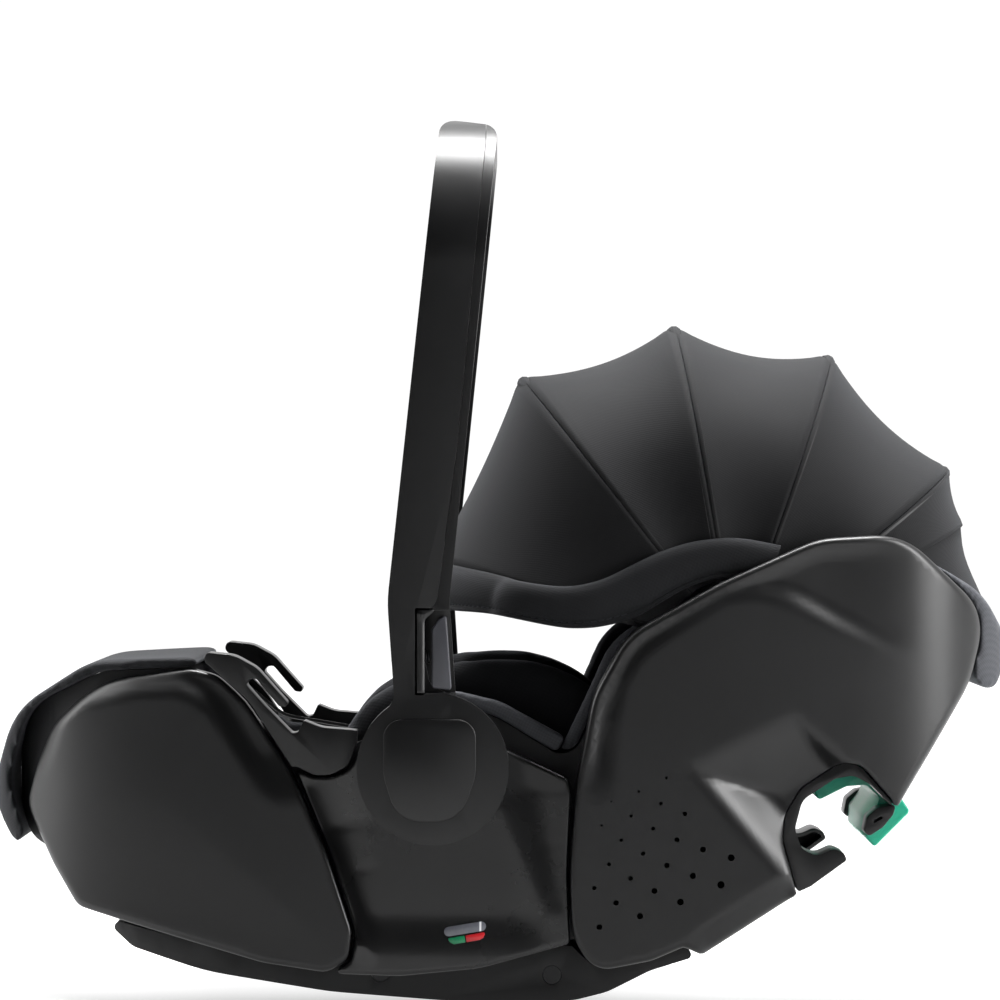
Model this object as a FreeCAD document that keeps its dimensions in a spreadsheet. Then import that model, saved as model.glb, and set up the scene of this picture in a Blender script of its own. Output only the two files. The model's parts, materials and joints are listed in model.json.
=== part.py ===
"""Infant car seat: a rear-facing infant carrier with a swinging carry handle and a folding canopy.

Frame: +X towards the child's head, +Y towards the child's right, +Z up, millimetres.
The origin lies on the floor under the middle of the seat. "left" is the child's left, at -Y.
Flat outlines are drawn in the side view (x, z) and given their width by extrusion. What is seen from
above is rounded by a plan outline, which every moulded shell is cut to.
"""

import FreeCAD, Part
import math
import os

import Sketcher
from FreeCAD import Placement, Rotation, Vector

doc = FreeCAD.newDocument("infant_car_seat")

# ---------------------------------------------------------------- driving dimensions
DIMENSIONS = [
    ("seat_length", 673.0, "overall length, foot end to head end"),
    ("shell_half_width", 193.0, "moulded covers, half of the width"),
    ("plan_reach", 330.0, "moulded covers, reach from the middle to either end in plan"),
    ("cover_wall", 3.0, "wall of the moulded covers"),
    ("side_depth", 33.0, "from a cover's face in to the bucket's wall"),
    ("end_depth", 8.0, "from a cover's end in to the bucket's end in plan"),
    ("bucket_wall", 4.0, "wall of the bucket"),
    ("fit_gap", 0.5, "gap between neighbouring pieces"),
    ("foam_thick", 10.0, "energy-absorbing foam liner"),
    ("liner_thick", 6.0, "fabric seat liner"),
    ("base_inset", 43.0, "from a cover's face in to the rocker base's wall"),
    ("mid_inset", 4.0, "how far the middle panels stand behind the end covers"),
    ("hub_across_x", -43.3, "handle pivot, along the seat"),
    ("hub_up_z", 154.0, "handle pivot, above the floor"),
    ("hub_radius", 49.0, "handle hub disc"),
    ("handle_gap", 4.0, "from the covers to the handle's legs"),
    ("handle_leg", 19.0, "thickness of a handle leg"),
    ("handle_top", 576.0, "top of the handle above the floor"),
    ("grip_thick", 19.0, "thickness of the handle's grip"),
    ("handle_corner", 95.0, "outer corner radius of the handle"),
    ("shaft_radius", 12.0, "handle pivot shaft"),
    ("boss_radius", 30.0, "handle pivot boss"),
    ("running_gap", 0.06, "radial clearance of a turning fit"),
    ("hub_cap_thick", 3.6, "cap on the handle hub"),
    ("lock_radius", 28.0, "lock ring in the handle hub"),
    ("lock_thick", 5.0, "thickness of the lock ring"),
    ("button_travel", 4.0, "travel of a handle button"),
    ("canopy_across_x", 152.0, "canopy pivot, along the seat"),
    ("canopy_up_z", 230.0, "canopy pivot, above the floor"),
    ("canopy_pin", 5.0, "canopy pivot pin radius"),
    ("canopy_half_width", 179.5, "canopy fabric at its sides, half of the width"),
    ("bow_strip", 2.4, "thickness of a canopy bow"),
    ("bow_width", 7.0, "width of a canopy bow"),
    ("fabric_thick", 1.5, "canopy fabric"),
    ("headrest_half_width", 105.0, "headrest shell, half of the width"),
    ("headrest_long", 110.0, "headrest along the backrest"),
    ("webbing_wide", 38.0, "harness webbing width"),
    ("webbing_thick", 1.5, "harness webbing thickness"),
    ("latch_bar_radius", 6.0, "steel bars that a base grips"),
    ("vent_radius", 2.3, "ventilation holes"),
]
dims = doc.addObject("Spreadsheet::Sheet", "dims")
for row, (alias, value, meaning) in enumerate(DIMENSIONS, start=1):
    dims.set(f"A{row}", str(value))
    dims.setAlias(f"A{row}", alias)
    dims.set(f"B{row}", meaning)
doc.recompute()
size = {alias: float(dims.get(alias)) for alias, _, _ in DIMENSIONS}

NOMINAL_LENGTH = 673.0
stretch = size["seat_length"] / NOMINAL_LENGTH
LEFT, RIGHT = -1, 1
SIDES = (("left", LEFT), ("right", RIGHT))
SKY = 700.0  # above everything, where a cutting shape ends

gap = size["fit_gap"]
cover_half = size["shell_half_width"]
bucket_half = cover_half - size["side_depth"]
bucket_reach = size["plan_reach"] - size["end_depth"]
leg_inner = cover_half + size["handle_gap"]
leg_outer = leg_inner + size["handle_leg"]
hub_x, hub_z = size["hub_across_x"] * stretch, size["hub_up_z"]
pivot_x, pivot_z = size["canopy_across_x"] * stretch, size["canopy_up_z"]

subparts = {}


# ---------------------------------------------------------------- helpers
def keep(obj, label):
    """Registers obj as the sub-part of that name."""
    obj.Label = label
    subparts[label] = obj
    return obj


def rounded(points, stretched=True):
    """Closed outline of lines and tangent arcs through (x, z, corner radius), as curves in a sketch's plane."""
    k = stretch if stretched else 1.0
    corners = [(Vector(p[0] * k, p[1], 0), p[2] if len(p) > 2 else 0.0) for p in points]
    count = len(corners)
    cuts = []
    for i, (corner, radius) in enumerate(corners):
        before = corners[i - 1][0] - corner
        after = corners[(i + 1) % count][0] - corner
        turn = math.pi - before.getAngle(after)
        room = 0.49 * min(before.Length, after.Length)
        back = min(radius * math.tan(turn / 2), room)
        if back < 1e-3 or turn < 1e-3:
            cuts.append((corner, corner, None))
            continue
        radius = back / math.tan(turn / 2)
        start = corner + Vector(before).normalize() * back
        end = corner + Vector(after).normalize() * back
        inward = (Vector(before).normalize() + Vector(after).normalize()).normalize()
        middle = corner + inward * (radius / math.cos(turn / 2) - radius)
        cuts.append((start, end, middle))
    curves = []
    for i, (start, end, middle) in enumerate(cuts):
        if middle is not None:
            curves.append(Part.Arc(start, middle, end))
        following = cuts[(i + 1) % count][0]
        if (following - end).Length > 1e-4:
            curves.append(Part.LineSegment(end, following))
    return curves


def offset(curves, distance):
    """The outline moved outwards (or inwards, if negative) by distance."""
    wire = Part.Wire([c.toShape() for c in curves]).makeOffset2D(distance, join=0)
    found = []
    for edge in wire.OrderedEdges:
        first, last = edge.Vertexes[0].Point, edge.Vertexes[-1].Point
        if edge.Curve.TypeId == "Part::GeomLine":
            found.append(Part.LineSegment(first, last))
        else:
            middle = edge.valueAt((edge.FirstParameter + edge.LastParameter) / 2)
            found.append(Part.Arc(first, middle, last))
    return found


TURNS = {
    "XY": Rotation(),
    "XZ": Rotation(Vector(1, 0, 0), 90),
    "YZ": Rotation(Vector(1, 1, 1), 120),
}


def sketch(name, curves, plane="XZ"):
    made = doc.addObject("Sketcher::SketchObject", name)
    made.addGeometry(list(curves))
    made.Placement = Placement(Vector(), TURNS[plane])
    return made


def extrude(name, curves, length, plane="XZ", symmetric=True):
    """Extrusion of an outline along its plane's normal. length is a number or an expression on the sheet."""
    made = doc.addObject("Part::Extrusion", name)
    made.Base = sketch(name + "_outline", curves, plane)
    made.DirMode = "Normal"
    made.Solid = True
    made.Symmetric = symmetric
    if isinstance(length, str):
        made.setExpression("LengthFwd", length)
    else:
        made.LengthFwd = length
    return made


def common(name, *objects):
    made = doc.addObject("Part::MultiCommon", name)
    made.Shapes = list(objects)
    return made


def fuse(name, *objects):
    made = doc.addObject("Part::MultiFuse", name)
    made.Shapes = list(objects)
    return made


def cut(name, base, *tools):
    for i, tool in enumerate(tools):
        made = doc.addObject("Part::Cut", f"{name}_{i}" if i < len(tools) - 1 else name)
        made.Base, made.Tool = base, tool
        base = made
    return base


def box(name, low, high):
    """Box between two corners."""
    made = doc.addObject("Part::Box", name)
    made.Length, made.Width, made.Height = (h - l for l, h in zip(low, high))
    made.Placement = Placement(Vector(*low), Rotation())
    return made


def barrel(name, x, z, radius, inner_y, outer_y, side=LEFT):
    """Cylinder along Y between two distances from the middle, on one side. radius may be an expression."""
    made = doc.addObject("Part::Cylinder", name)
    if isinstance(radius, str):
        made.setExpression("Radius", radius)
    else:
        made.Radius = radius
    made.Height = outer_y - inner_y
    turn = Rotation(Vector(1, 0, 0), 90 if side == LEFT else -90)
    made.Placement = Placement(Vector(x, side * inner_y, z), turn)
    return made


def both_barrels(name, x, z, radius, inner_y, outer_y):
    return [barrel(f"{name}_{word}", x, z, radius, inner_y, outer_y, side) for word, side in SIDES]


def mirrored(source, name):
    made = doc.addObject("Part::Mirroring", name)
    made.Source = source
    made.Normal = Vector(0, 1, 0)
    return made


def pair(source, label):
    """Keeps a piece that was made for the left side, and its mirror image for the right."""
    keep(source, label + "_left")
    keep(mirrored(source, label + "_mirror"), label + "_right")


def both(source, label):
    """Keeps a piece that was made for the left side together with its mirror image, as one sub-part."""
    keep(fuse(label, source, mirrored(source, label + "_mirror")), label)


def ribbon(points, thickness):
    """Outline of a strip of even thickness along a path of (x, z) points."""
    spots = [Vector(p[0], p[1], 0) for p in points]
    above, below = [], []
    for i, spot in enumerate(spots):
        back = (spot - spots[i - 1]).normalize() if i else None
        ahead = (spots[i + 1] - spot).normalize() if i + 1 < len(spots) else back
        back = back or ahead
        mean = (back + ahead).normalize()
        normal = Vector(-mean.y, mean.x, 0)
        half = thickness / 2 / max(0.3, normal.dot(Vector(-ahead.y, ahead.x, 0)))
        above.append(spot + normal * half)
        below.append(spot - normal * half)
    outline = above + below[::-1]
    return [Part.LineSegment(a, b) for a, b in zip(outline, outline[1:] + outline[:1])]


def tape(name, points, thickness, middle_y, width):
    """Webbing along a path in the side view, centred on a distance from the middle plane."""
    made = extrude(name, ribbon(points, thickness), width)
    made.Placement = Placement(Vector(0, middle_y, 0), Rotation())
    return made


def plan_curve(half_width, reach):
    """Closed outline seen from above: superelliptic halves, squarer at the head end than at the foot end."""
    curves = []
    steps = 9
    for squareness, end in ((HEAD_SQUARENESS, 1), (FOOT_SQUARENESS, -1)):
        points = []
        for i in range(-steps, steps + 1):
            angle = math.pi / 2 * i / steps
            x = end * abs(math.cos(angle)) ** (2 / squareness) * reach * stretch if abs(i) < steps else 0.0
            y = math.copysign(abs(math.sin(angle)) ** (2 / squareness), i) * half_width
            points.append(Vector(x, y, 0))
        curve = Part.BSplineCurve()
        along = Vector(end, 0, 0)
        curve.interpolate(points, InitialTangent=along, FinalTangent=-along)
        curves.append(curve)
    return curves


HEAD_SQUARENESS = 4.0
FOOT_SQUARENESS = 2.6


def plan(name, half_width, reach):
    """Everything inside the plan outline, from below the floor to above the canopy."""
    made = extrude(name, plan_curve(half_width, reach), SKY + 100, "XY", symmetric=False)
    made.Placement = Placement(Vector(0, 0, -50), Rotation())
    made.Base.Placement = Placement(Vector(0, 0, 0), Rotation())
    return made


def design_body(label):
    body = doc.addObject("PartDesign::Body", label + "_body")
    return body


def body_sketch(body, name, curves, plane="XZ_Plane", lift=0.0):
    """Sketch on one of the body's own origin planes, lift above it along its normal (-Y for XZ)."""
    made = body.newObject("Sketcher::SketchObject", name)
    made.AttachmentSupport = [(next(f for f in body.Origin.OriginFeatures if f.Role == plane), "")]
    made.MapMode = "FlatFace"
    made.AttachmentOffset = Placement(Vector(0, 0, lift), Rotation())
    made.addGeometry(list(curves))
    return made


def pad(body, name, curves, length, plane="XZ_Plane", lift=0.0):
    made = body.newObject("PartDesign::Pad", name)
    made.Profile = body_sketch(body, name + "_sketch", curves, plane, lift)
    if isinstance(length, str):
        made.setExpression("Length", length)
    else:
        made.Length = length
    doc.recompute()
    return made


def circle(x, z, radius):
    return [Part.Circle(Vector(x, z, 0), Vector(0, 0, 1), radius)]


def round_body(body, name, x, z, radius, length, lift):
    """Pad of a circle whose radius is held by a constraint on the sheet's cell."""
    made = pad(body, name, circle(x, z, size[radius]), length, lift=lift)
    outline = made.Profile[0]
    index = outline.addConstraint(Sketcher.Constraint("Radius", 0, size[radius]))
    outline.setExpression(f"Constraints[{index}]", f"dims.{radius}")
    doc.recompute()
    return made


# ---------------------------------------------------------------- side-view outlines (x, z, corner radius)
BUCKET = [
    (306, 214, 25), (60, 40, 90), (-60, 38, 80), (-150, 50, 80), (-240, 68, 40), (-312, 104, 20),
    (-326, 140, 40), (-312, 190, 40), (-262, 214.5, 40), (-198, 217.5, 12), (-150, 178, 25),
    (-92, 168, 15), (-66, 190, 15), (-30, 196, 20), (0, 184, 20), (46, 156, 20), (60, 185, 30),
    (80, 230, 40), (112, 250, 60), (184, 286, 60), (242, 298, 40), (290, 272, 40), (316, 240, 20),
]
CAVITY = [
    (308, 255, 0), (290, 220, 35), (58, 44, 90), (-60, 42, 80), (-140, 62, 60), (-195, 120, 60),
    (-222, 200, 30), (-224, SKY, 0), (308, SKY, 0),
]
FOOT_HOLLOW = [
    (-152, 20, 0), (-150, 60, 50), (-200, 122, 50), (-228, 200, 10), (-232, 209, 5), (-262, 209, 30),
    (-308, 186, 36), (-321, 140, 36), (-309, 106, 10), (-309, 20, 0),
]
FOOT_SHELL = [
    (-313, 126, 20), (-306, 152, 60), (-294, 180, 50), (-262, 208, 60), (-200, 217, 20), (-184, 213, 20),
    (-165, 196, 60), (-136, 152, 90), (-113, 100, 120), (-96, 48, 20), (-98, 30, 10), (-112, 21, 15),
    (-155, 27.5, 0), (-277, 61, 12), (-294, 88, 60),
]
HEAD_SHELL = [
    (47, 42, 60), (45, 85, 200), (49, 140, 120), (60, 200, 60), (82, 240, 50), (143, 274, 120),
    (206, 302, 60), (262, 305, 50), (320, 252, 40), (308, 208, 60), (257.3, 126.1, 3), (254, 133, 2),
    (234, 155.5, 14), (221, 157, 16), (195, 140, 16), (184.5, 122, 20), (183, 106, 20), (192.5, 71, 2),
    (131, 32, 4), (119, 38, 4), (98, 29, 20), (62, 22, 20),
]
MID_PANEL = [
    (-109, 20.4, 4), (-65, 19, 60), (-13, 24, 80), (45.5, 40, 4), (43.5, 85, 100), (46, 138, 10),
    (44, 147, 4), (3, 166, 20), (-30, 186, 20), (-64, 184, 20), (-90, 168, 4), (-97, 152.5, 14),
    (-110, 147.5, 14), (-121, 147.5, 8), (-133, 152, 2), (-111.4, 100, 90), (-94.4, 48, 20), (-96.2, 29, 8),
]
BASE = [
    (-264, 52, 4), (-242, 33, 15), (-194, 18.5, 200), (-111, 6, 200), (-30, 0, 100), (46, 0, 60),
    (70, 6, 40), (98, 20, 40), (128, 29, 6), (119, 36.6, 3), (98, 27.8, 15), (62, 20.8, 20), (47, 36, 2),
    (-60, 36.5, 0), (-93, 30, 6), (-99, 27, 8), (-112, 19.8, 10), (-155, 26.6, 0),
]
BASE_HOLLOW = [
    (-238, 37.6, 8), (-194, 22, 180), (-111, 9.2, 180), (-30, 3.2, 90), (46, 3.2, 50), (66, 8, 30),
    (84, 17, 20), (62, 16.5, 15), (44, 30, 2), (40, 60, 0), (-88, 60, 0), (-90, 26, 4), (-104, 18, 10),
    (-155, 23, 0),
]
BELT_GUIDE = [
    (-192, 223, 4), (-190, 228.5, 3), (-172, 226.5, 20), (-157.5, 218.5, 20), (-137.5, 196, 2),
    (-138.5, 193, 1.5), (-143, 193.5, 3), (-153.5, 206, 12), (-158, 211.5, 3), (-162, 211, 2),
    (-164.5, 207.5, 2), (-152.5, 194, 40), (-134.5, 176, 3), (-130.5, 177, 2), (-127, 184.5, 1.5),
    (-116, 180, 25), (-92.3, 178, 0.8), (-93, 169, 10), (-98, 155, 12), (-110, 149, 14), (-120, 149, 10),
    (-131.5, 154.5, 8), (-134.6, 154.5, 1), (-162.8, 197.6, 50), (-182.6, 214.8, 20),
]
BELT_SURROUND = [
    (256, 126.6, 2), (253.3, 132.2, 2), (233.5, 154.6, 13), (221, 156, 15), (195.8, 139.4, 15),
    (185.4, 121.8, 18), (184, 106, 18), (193.4, 72, 2), (202, 76, 2), (225.5, 93, 2), (223.5, 97.5, 3),
    (217, 100.5, 6), (206, 95.5, 10), (196, 100, 10), (191.5, 113, 12), (196.5, 132, 12), (218, 146, 10),
    (230, 148, 10), (241, 142, 8),
]
BELT_CHANNEL = [
    (270, 122, 3), (264, 131, 3), (244, 152, 10), (224, 152, 10), (206, 138, 6), (209, 129, 3),
    (228, 138.5, 8), (241, 139.5, 6), (250, 131, 6), (248, 126, 3), (241, 117, 6), (240.5, 105, 4),
    (246.5, 98.5, 2),
]
FOOT_RIM = [
    (-322, 99, 5), (-341, 131, 36), (-322, 188, 55), (-268, 222, 50), (-198, 225, 3), (-196.5, 219, 2),
    (-198, 218.2, 0), (-262, 215.1, 40), (-312.4, 190.4, 40), (-326.6, 140, 40), (-313, 104, 15),
]
HEAD_RIM = [
    (46.5, 158, 3), (59, 186, 30), (79.5, 231, 40), (112, 250.7, 60), (184, 286.7, 60), (242, 298.7, 40),
    (290.5, 272.6, 40), (316.8, 240, 20), (308, 216, 4), (316, 204, 4), (327, 200, 6), (338.5, 232, 20),
    (318, 266, 50), (246, 308, 45), (181, 295, 60), (108, 259, 60), (72, 236, 40), (51, 190, 30), (38, 163, 4),
]
SIDE_RIM = [
    (37, 162.3, 3), (44, 172, 3), (0, 196, 30), (-30, 203, 20), (-60, 199, 10), (-66, 190.8, 4),
    (-30, 196.7, 20), (0.4, 184.7, 20),
]
INSERT = [
    (-106, 176, 30), (-84, 204, 60), (-30, 226, 90), (30, 226, 90), (70, 204, 50), (86, 168, 20),
    (83, 108, 0), (83, 20, 0), (-114, 20, 0), (-114, 120, 20),
]
HANDLE_SIDE = [
    (-84, 176, 10), (-68, 199, 12), (-72.5, 262, 90), (-38.5, 577, 10), (-1, 571, 10), (-32.5, 262, 60),
    (-28.5, 199, 10), (-13, 183, 10), (-20, 120, 0), (-68, 120, 0),
]
HANDLE_REAR = [
    (10, 590, 0), (-9, 590, 0), (-9, 560, 0), (-27.6, 359, 60), (-40.5, 262, 12), (-49.5, 251, 6), (-50.5, 236, 20),
    (-45, 208, 8), (-31, 201, 3), (10, 201, 0),
]
HUB_CAP = [
    (-75, 186, 12), (-75, 150, 30), (-66, 120.5, 24), (-26, 120.5, 22), (-15.5, 150, 30), (-15.5, 186, 12),
]
BUTTON = [(-44, 206, 2), (-31, 204.5, 2), (-34.5, 253.5, 2), (-39.5, 250.5, 3), (-44, 244, 3)]

# ---------------------------------------------------------------- bucket and everything inside it
bucket_plan = plan("bucket_plan", bucket_half, bucket_reach)
bucket_plan_inner = plan("bucket_plan_inner", bucket_half - size["bucket_wall"], bucket_reach - size["bucket_wall"])
bucket_block = common("bucket_block", extrude("bucket_side", rounded(BUCKET), 500), bucket_plan)
cavity_block = common("cavity_block", extrude("cavity_side", rounded(CAVITY), 500), bucket_plan_inner)
hollow_block = common("hollow_block", extrude("foot_hollow_side", rounded(FOOT_HOLLOW), 500), bucket_plan_inner)
keep(cut("bucket", bucket_block, cavity_block, hollow_block), "bucket_shell")


def lining(label, near, far):
    """A layer inside the bucket, from near to far off its inner face, up to just under its rim."""
    start, end = size["bucket_wall"] + near, size["bucket_wall"] + far
    outer = common(
        label + "_outer",
        extrude(label + "_outer_side", offset(rounded(CAVITY), -near), 500),
        plan(label + "_outer_plan", bucket_half - start, bucket_reach - start),
        extrude(label + "_rim", offset(rounded(BUCKET), -RIM_DROP), 500),
    )
    inner = common(
        label + "_inner",
        extrude(label + "_inner_side", offset(rounded(CAVITY), -far), 500),
        plan(label + "_inner_plan", bucket_half - end, bucket_reach - end),
    )
    return keep(cut(label + "_layer", outer, inner, *strap_slots(label)), label)


BACK_FOOT = Vector(58 * stretch, 0, 44)
back_vector = Vector((290 - 58) * stretch, 0, 220 - 44)
back_angle = math.degrees(math.atan2(back_vector.z, back_vector.x))
back_frame = Placement(BACK_FOOT, Rotation(Vector(0, 1, 0), -back_angle))


def on_back(obj):
    """Places something made with +X up the backrest and +Z out of it."""
    obj.Placement = back_frame.multiply(obj.Placement)
    return obj


RIM_DROP = 2.0
STRAP_MIDDLE, STRAP_SLOT = 42.0, 97.0
CROTCH_X = -50.0 * stretch
webbing, web_thick = size["webbing_wide"], size["webbing_thick"]


def strap_slots(label):
    """Slots that the harness passes through, each a little wider than its webbing."""
    slots = [box(label + "_crotch_slot", (CROTCH_X - 3, -webbing / 2 - 1.5, 30), (CROTCH_X + 3, webbing / 2 + 1.5, 90))]
    for word, side in SIDES:
        middle = side * STRAP_MIDDLE
        half = webbing / 2 + 1.5
        slot = box(f"{label}_slot_{word}", (STRAP_SLOT - 3, middle - half, -2), (STRAP_SLOT + 3, middle + half, 40))
        slots.append(on_back(slot))
    return slots


foam_end = gap + size["foam_thick"]
liner_end = foam_end + gap + size["liner_thick"]
lining("foam_liner", gap, foam_end)
lining("seat_liner", foam_end + gap, liner_end)

# The newborn insert: two side bolsters joined by a seat pad, resting on the liner.
insert_start = liner_end + gap
BOLSTER = 24.0
INSERT_PAD = 14.0
insert_half = bucket_half - size["bucket_wall"] - insert_start
insert_block = common(
    "insert_block",
    extrude("insert_side", rounded(INSERT), 2 * insert_half),
    extrude("insert_bed", offset(rounded(CAVITY), -insert_start), 500),
    plan("insert_plan", insert_half, bucket_reach - size["bucket_wall"] - insert_start),
)
insert_room = extrude("insert_room", offset(rounded(CAVITY), -insert_start - INSERT_PAD), 2 * (insert_half - BOLSTER))
keep(cut("insert_piece", insert_block, insert_room, *strap_slots("insert")), "newborn_insert")

# ---------------------------------------------------------------- moulded covers
cover_plan = plan("cover_plan", cover_half, size["plan_reach"])
cover_plan_inner = plan("cover_plan_inner", cover_half - size["cover_wall"], size["plan_reach"] - size["cover_wall"])
ABOVE_BUCKET = [
    (330, SKY, 0), (330, 226, 0), (306, 213.4, 25), (60, 39.4, 90), (-60, 37.4, 80), (-150, 49.4, 80),
    (-240, 67.4, 40), (-330, 100, 0), (-330, SKY, 0),
]
bucket_room = common(
    "bucket_room",
    extrude("bucket_room_side", rounded(ABOVE_BUCKET), 500),
    plan("bucket_room_plan", bucket_half + gap, bucket_reach + gap),
)


def moulding(name, outline, *tools, recess=None):
    """Thin-walled cover: the outline cut to the plan, hollow inside, open where the tools pass."""
    skin = common(name + "_skin", extrude(name + "_side", rounded(outline), 500), cover_plan)
    if recess:
        skin = cut(name + "_recessed", skin, recess("recess", 0.0))
    hollow = common(
        name + "_hollow",
        extrude(name + "_hollow_side", offset(rounded(outline), -size["cover_wall"]), 500),
        cover_plan_inner,
    )
    if recess:
        hollow = cut(name + "_hollow_recessed", hollow, recess("recess_back", size["cover_wall"]))
    return cut(name + "_moulding", skin, hollow, bucket_room, *tools)


SURROUND_IN, SURROUND_OUT = 112.0, 168.0


VENT_COLUMNS = {-2: (5, 7), -1: (2, 7), 0: (0, 7), 1: (0, 5), 2: (0, 3), 3: (0, 2)}


def vent_places():
    """Ventilation holes: (x, z, share of the largest radius), in columns that lean and close up towards the top."""
    for column, (first, past) in VENT_COLUMNS.items():
        for row in range(first, past):
            x = 64.2 + 11.55 * row - 0.72 * row**2 + column * (26.2 - 1.4 * row)
            z = 51.0 + 15.6 * row + 0.08 * row**2 + column * (7.1 + 0.6 * row) + column * (column - 1)
            yield x, z, 1.0 + 0.07 * (column - 3) - 0.06 * row


keep(moulding("foot_shell", FOOT_SHELL), "foot_shell")

vents = []
for i, (x, z, share) in enumerate(vent_places()):
    radius = f"dims.vent_radius * {share:.2f}"
    vents += both_barrels(f"vent_{i}", x * stretch, z, radius, bucket_half + 5, cover_half + 10)
vent_tool = fuse("vents", *vents)
RECESS = [(122, 154, 8), (181, 184, 8), (196, 184, 8), (262, 129, 4), (262, 60, 4), (186, 78, 8)]
RECESS_FLOOR = 165.0


def recess_room(name, grown):
    """Room of the sloping recess round the belt slot, on both sides, made larger by grown."""
    floor = RECESS_FLOOR - grown
    lip = [
        (118 - grown, -cover_half - 10, 0), (118 - grown, -cover_half + 0.5, 0), (216, -floor, 30),
        (270 + grown, -floor, 0), (270 + grown, -cover_half - 10, 0),
    ]
    slope_left = extrude(name + "_slope", rounded(lip), SKY, "XY", symmetric=False)
    slope_pair = fuse(name + "_slopes", slope_left, mirrored(slope_left, name + "_slope_right"))
    window = extrude(name + "_window", offset(rounded(RECESS), grown) if grown else rounded(RECESS), 500)
    return common(name, slope_pair, window)


LEVER_WINDOW = 48.0
LEVER_OPENING = [(292, 196, 0), (322, 178, 0), (296, 142, 0), (270, 160, 0)]
lever_window = extrude("lever_window", rounded(LEVER_OPENING), 2 * LEVER_WINDOW)
channel_room = extrude("channel_room", offset(rounded(BELT_CHANNEL), gap), 2 * (SURROUND_IN - gap) + 1)
CANOPY_ROOM = [(62, 196, 0), (62, 340, 0), (302, 340, 0), (302, 262, 0), (240, 236, 0), (120, 200, 0)]
canopy_room = common("canopy_room", extrude("canopy_room_side", rounded(CANOPY_ROOM), 500), cover_plan_inner)
head_tools = (lever_window, vent_tool, channel_room, canopy_room)
keep(moulding("head_shell", HEAD_SHELL, *head_tools, recess=recess_room), "head_shell")

mid_plan = plan("mid_plan", cover_half - size["mid_inset"], size["plan_reach"])
mid_plan_inner = plan("mid_plan_inner", cover_half - size["mid_inset"] - size["cover_wall"], size["plan_reach"])
mid_clear = plan("mid_clear", bucket_half + gap, size["plan_reach"])
mid_skin = common("mid_skin", extrude("mid_side", rounded(MID_PANEL), 500), mid_plan)
mid_hollow = common(
    "mid_hollow", extrude("mid_hollow_side", offset(rounded(MID_PANEL), -size["cover_wall"]), 500), mid_plan_inner
)
boss_holes = both_barrels("boss_hole", hub_x, hub_z, size["boss_radius"] + gap, 100, 230)
left_half = box("left_half", (-400, -300, -10), (400, 0, SKY))
mid_pair = cut("mid_pair", mid_skin, mid_hollow, mid_clear, *boss_holes)
mid_left = common("mid_left", mid_pair, left_half)
pair(mid_left, "mid_panel")

# ---------------------------------------------------------------- rocker base and its latch bars
base_half = cover_half - size["base_inset"]
base_block = common(
    "base_block", extrude("base_side", rounded(BASE), 500), plan("base_plan", base_half, size["plan_reach"] - 30)
)
base_hollow = common(
    "base_hollow",
    extrude("base_hollow_side", rounded(BASE_HOLLOW), 500),
    plan("base_hollow_plan", base_half - size["cover_wall"], size["plan_reach"] - 30 - size["cover_wall"]),
)
BAR_PLACES = (("front", -78.0, 19.0), ("rear", 34.0, 17.0))
JAW_HALF, JAW_IN, JAW_OUT = 17.0, 62.0, 104.0
base_tools = [base_hollow]
for word, x, z in BAR_PLACES:
    bar_hole = barrel(f"{word}_bar_hole", x * stretch, z, size["latch_bar_radius"] + 0.3, -base_half - 5, base_half + 5)
    base_tools.append(bar_hole)
    for side_word, side in SIDES:
        low_y, high_y = sorted((side * JAW_IN, side * JAW_OUT))
        base_tools.append(
            box(
                f"{word}_jaw_{side_word}",
                (x * stretch - JAW_HALF, low_y, -5),
                (x * stretch + JAW_HALF, high_y, z - 3),
            )
        )
SCREW_PLACES = [(-150.0, 60.0), (-22.0, 0.0), (-22.0, 120.0), (4.0, 120.0)]
SCREW_HEAD, SCREW_SHANK = 3.6, 1.9
screw_spots = [(x * stretch, sign * y) for x, y in SCREW_PLACES for sign in ((1,) if y == 0 else (1, -1))]


def screw_floor(x):
    """Height of the base's floor where a screw stands."""
    return 12.5 if x < -100 else 0.0


for i, (x, y) in enumerate(screw_spots):
    hole = doc.addObject("Part::Cylinder", f"screw_hole_{i}")
    hole.Radius, hole.Height = SCREW_SHANK + 0.3, 40
    hole.Placement = Placement(Vector(x, y, -5), Rotation())
    base_tools.append(hole)
keep(cut("base", base_block, *base_tools), "base_shell")

for word, x, z in BAR_PLACES:
    bar_body = design_body(f"{word}_latch_bar")
    bar_round = circle(x * stretch, z, size["latch_bar_radius"])
    bar = pad(bar_body, f"{word}_bar", bar_round, 2 * base_half - 1, lift=-base_half + 0.5)
    outline = bar.Profile[0]
    outline.addConstraint(Sketcher.Constraint("Radius", 0, size["latch_bar_radius"]))
    outline.setExpression("Constraints[0]", "dims.latch_bar_radius")
    keep(bar_body, f"{word}_latch_bar")

screws = []
for i, (x, y) in enumerate(screw_spots):
    floor = screw_floor(x) + size["cover_wall"] + 0.4
    head_disc = doc.addObject("Part::Cylinder", f"screw_head_{i}")
    head_disc.Radius, head_disc.Height = SCREW_HEAD, 2.4
    head_disc.Placement = Placement(Vector(x, y, floor), Rotation())
    shank = doc.addObject("Part::Cylinder", f"screw_shank_{i}")
    shank.Radius, shank.Height = SCREW_SHANK, 7.5 if x < -100 else 10
    shank.Placement = Placement(Vector(x, y, floor + 2.4), Rotation())
    screws.append(fuse(f"screw_{i}", head_disc, shank))
keep(fuse("screws", *screws), "base_screws")

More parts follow.
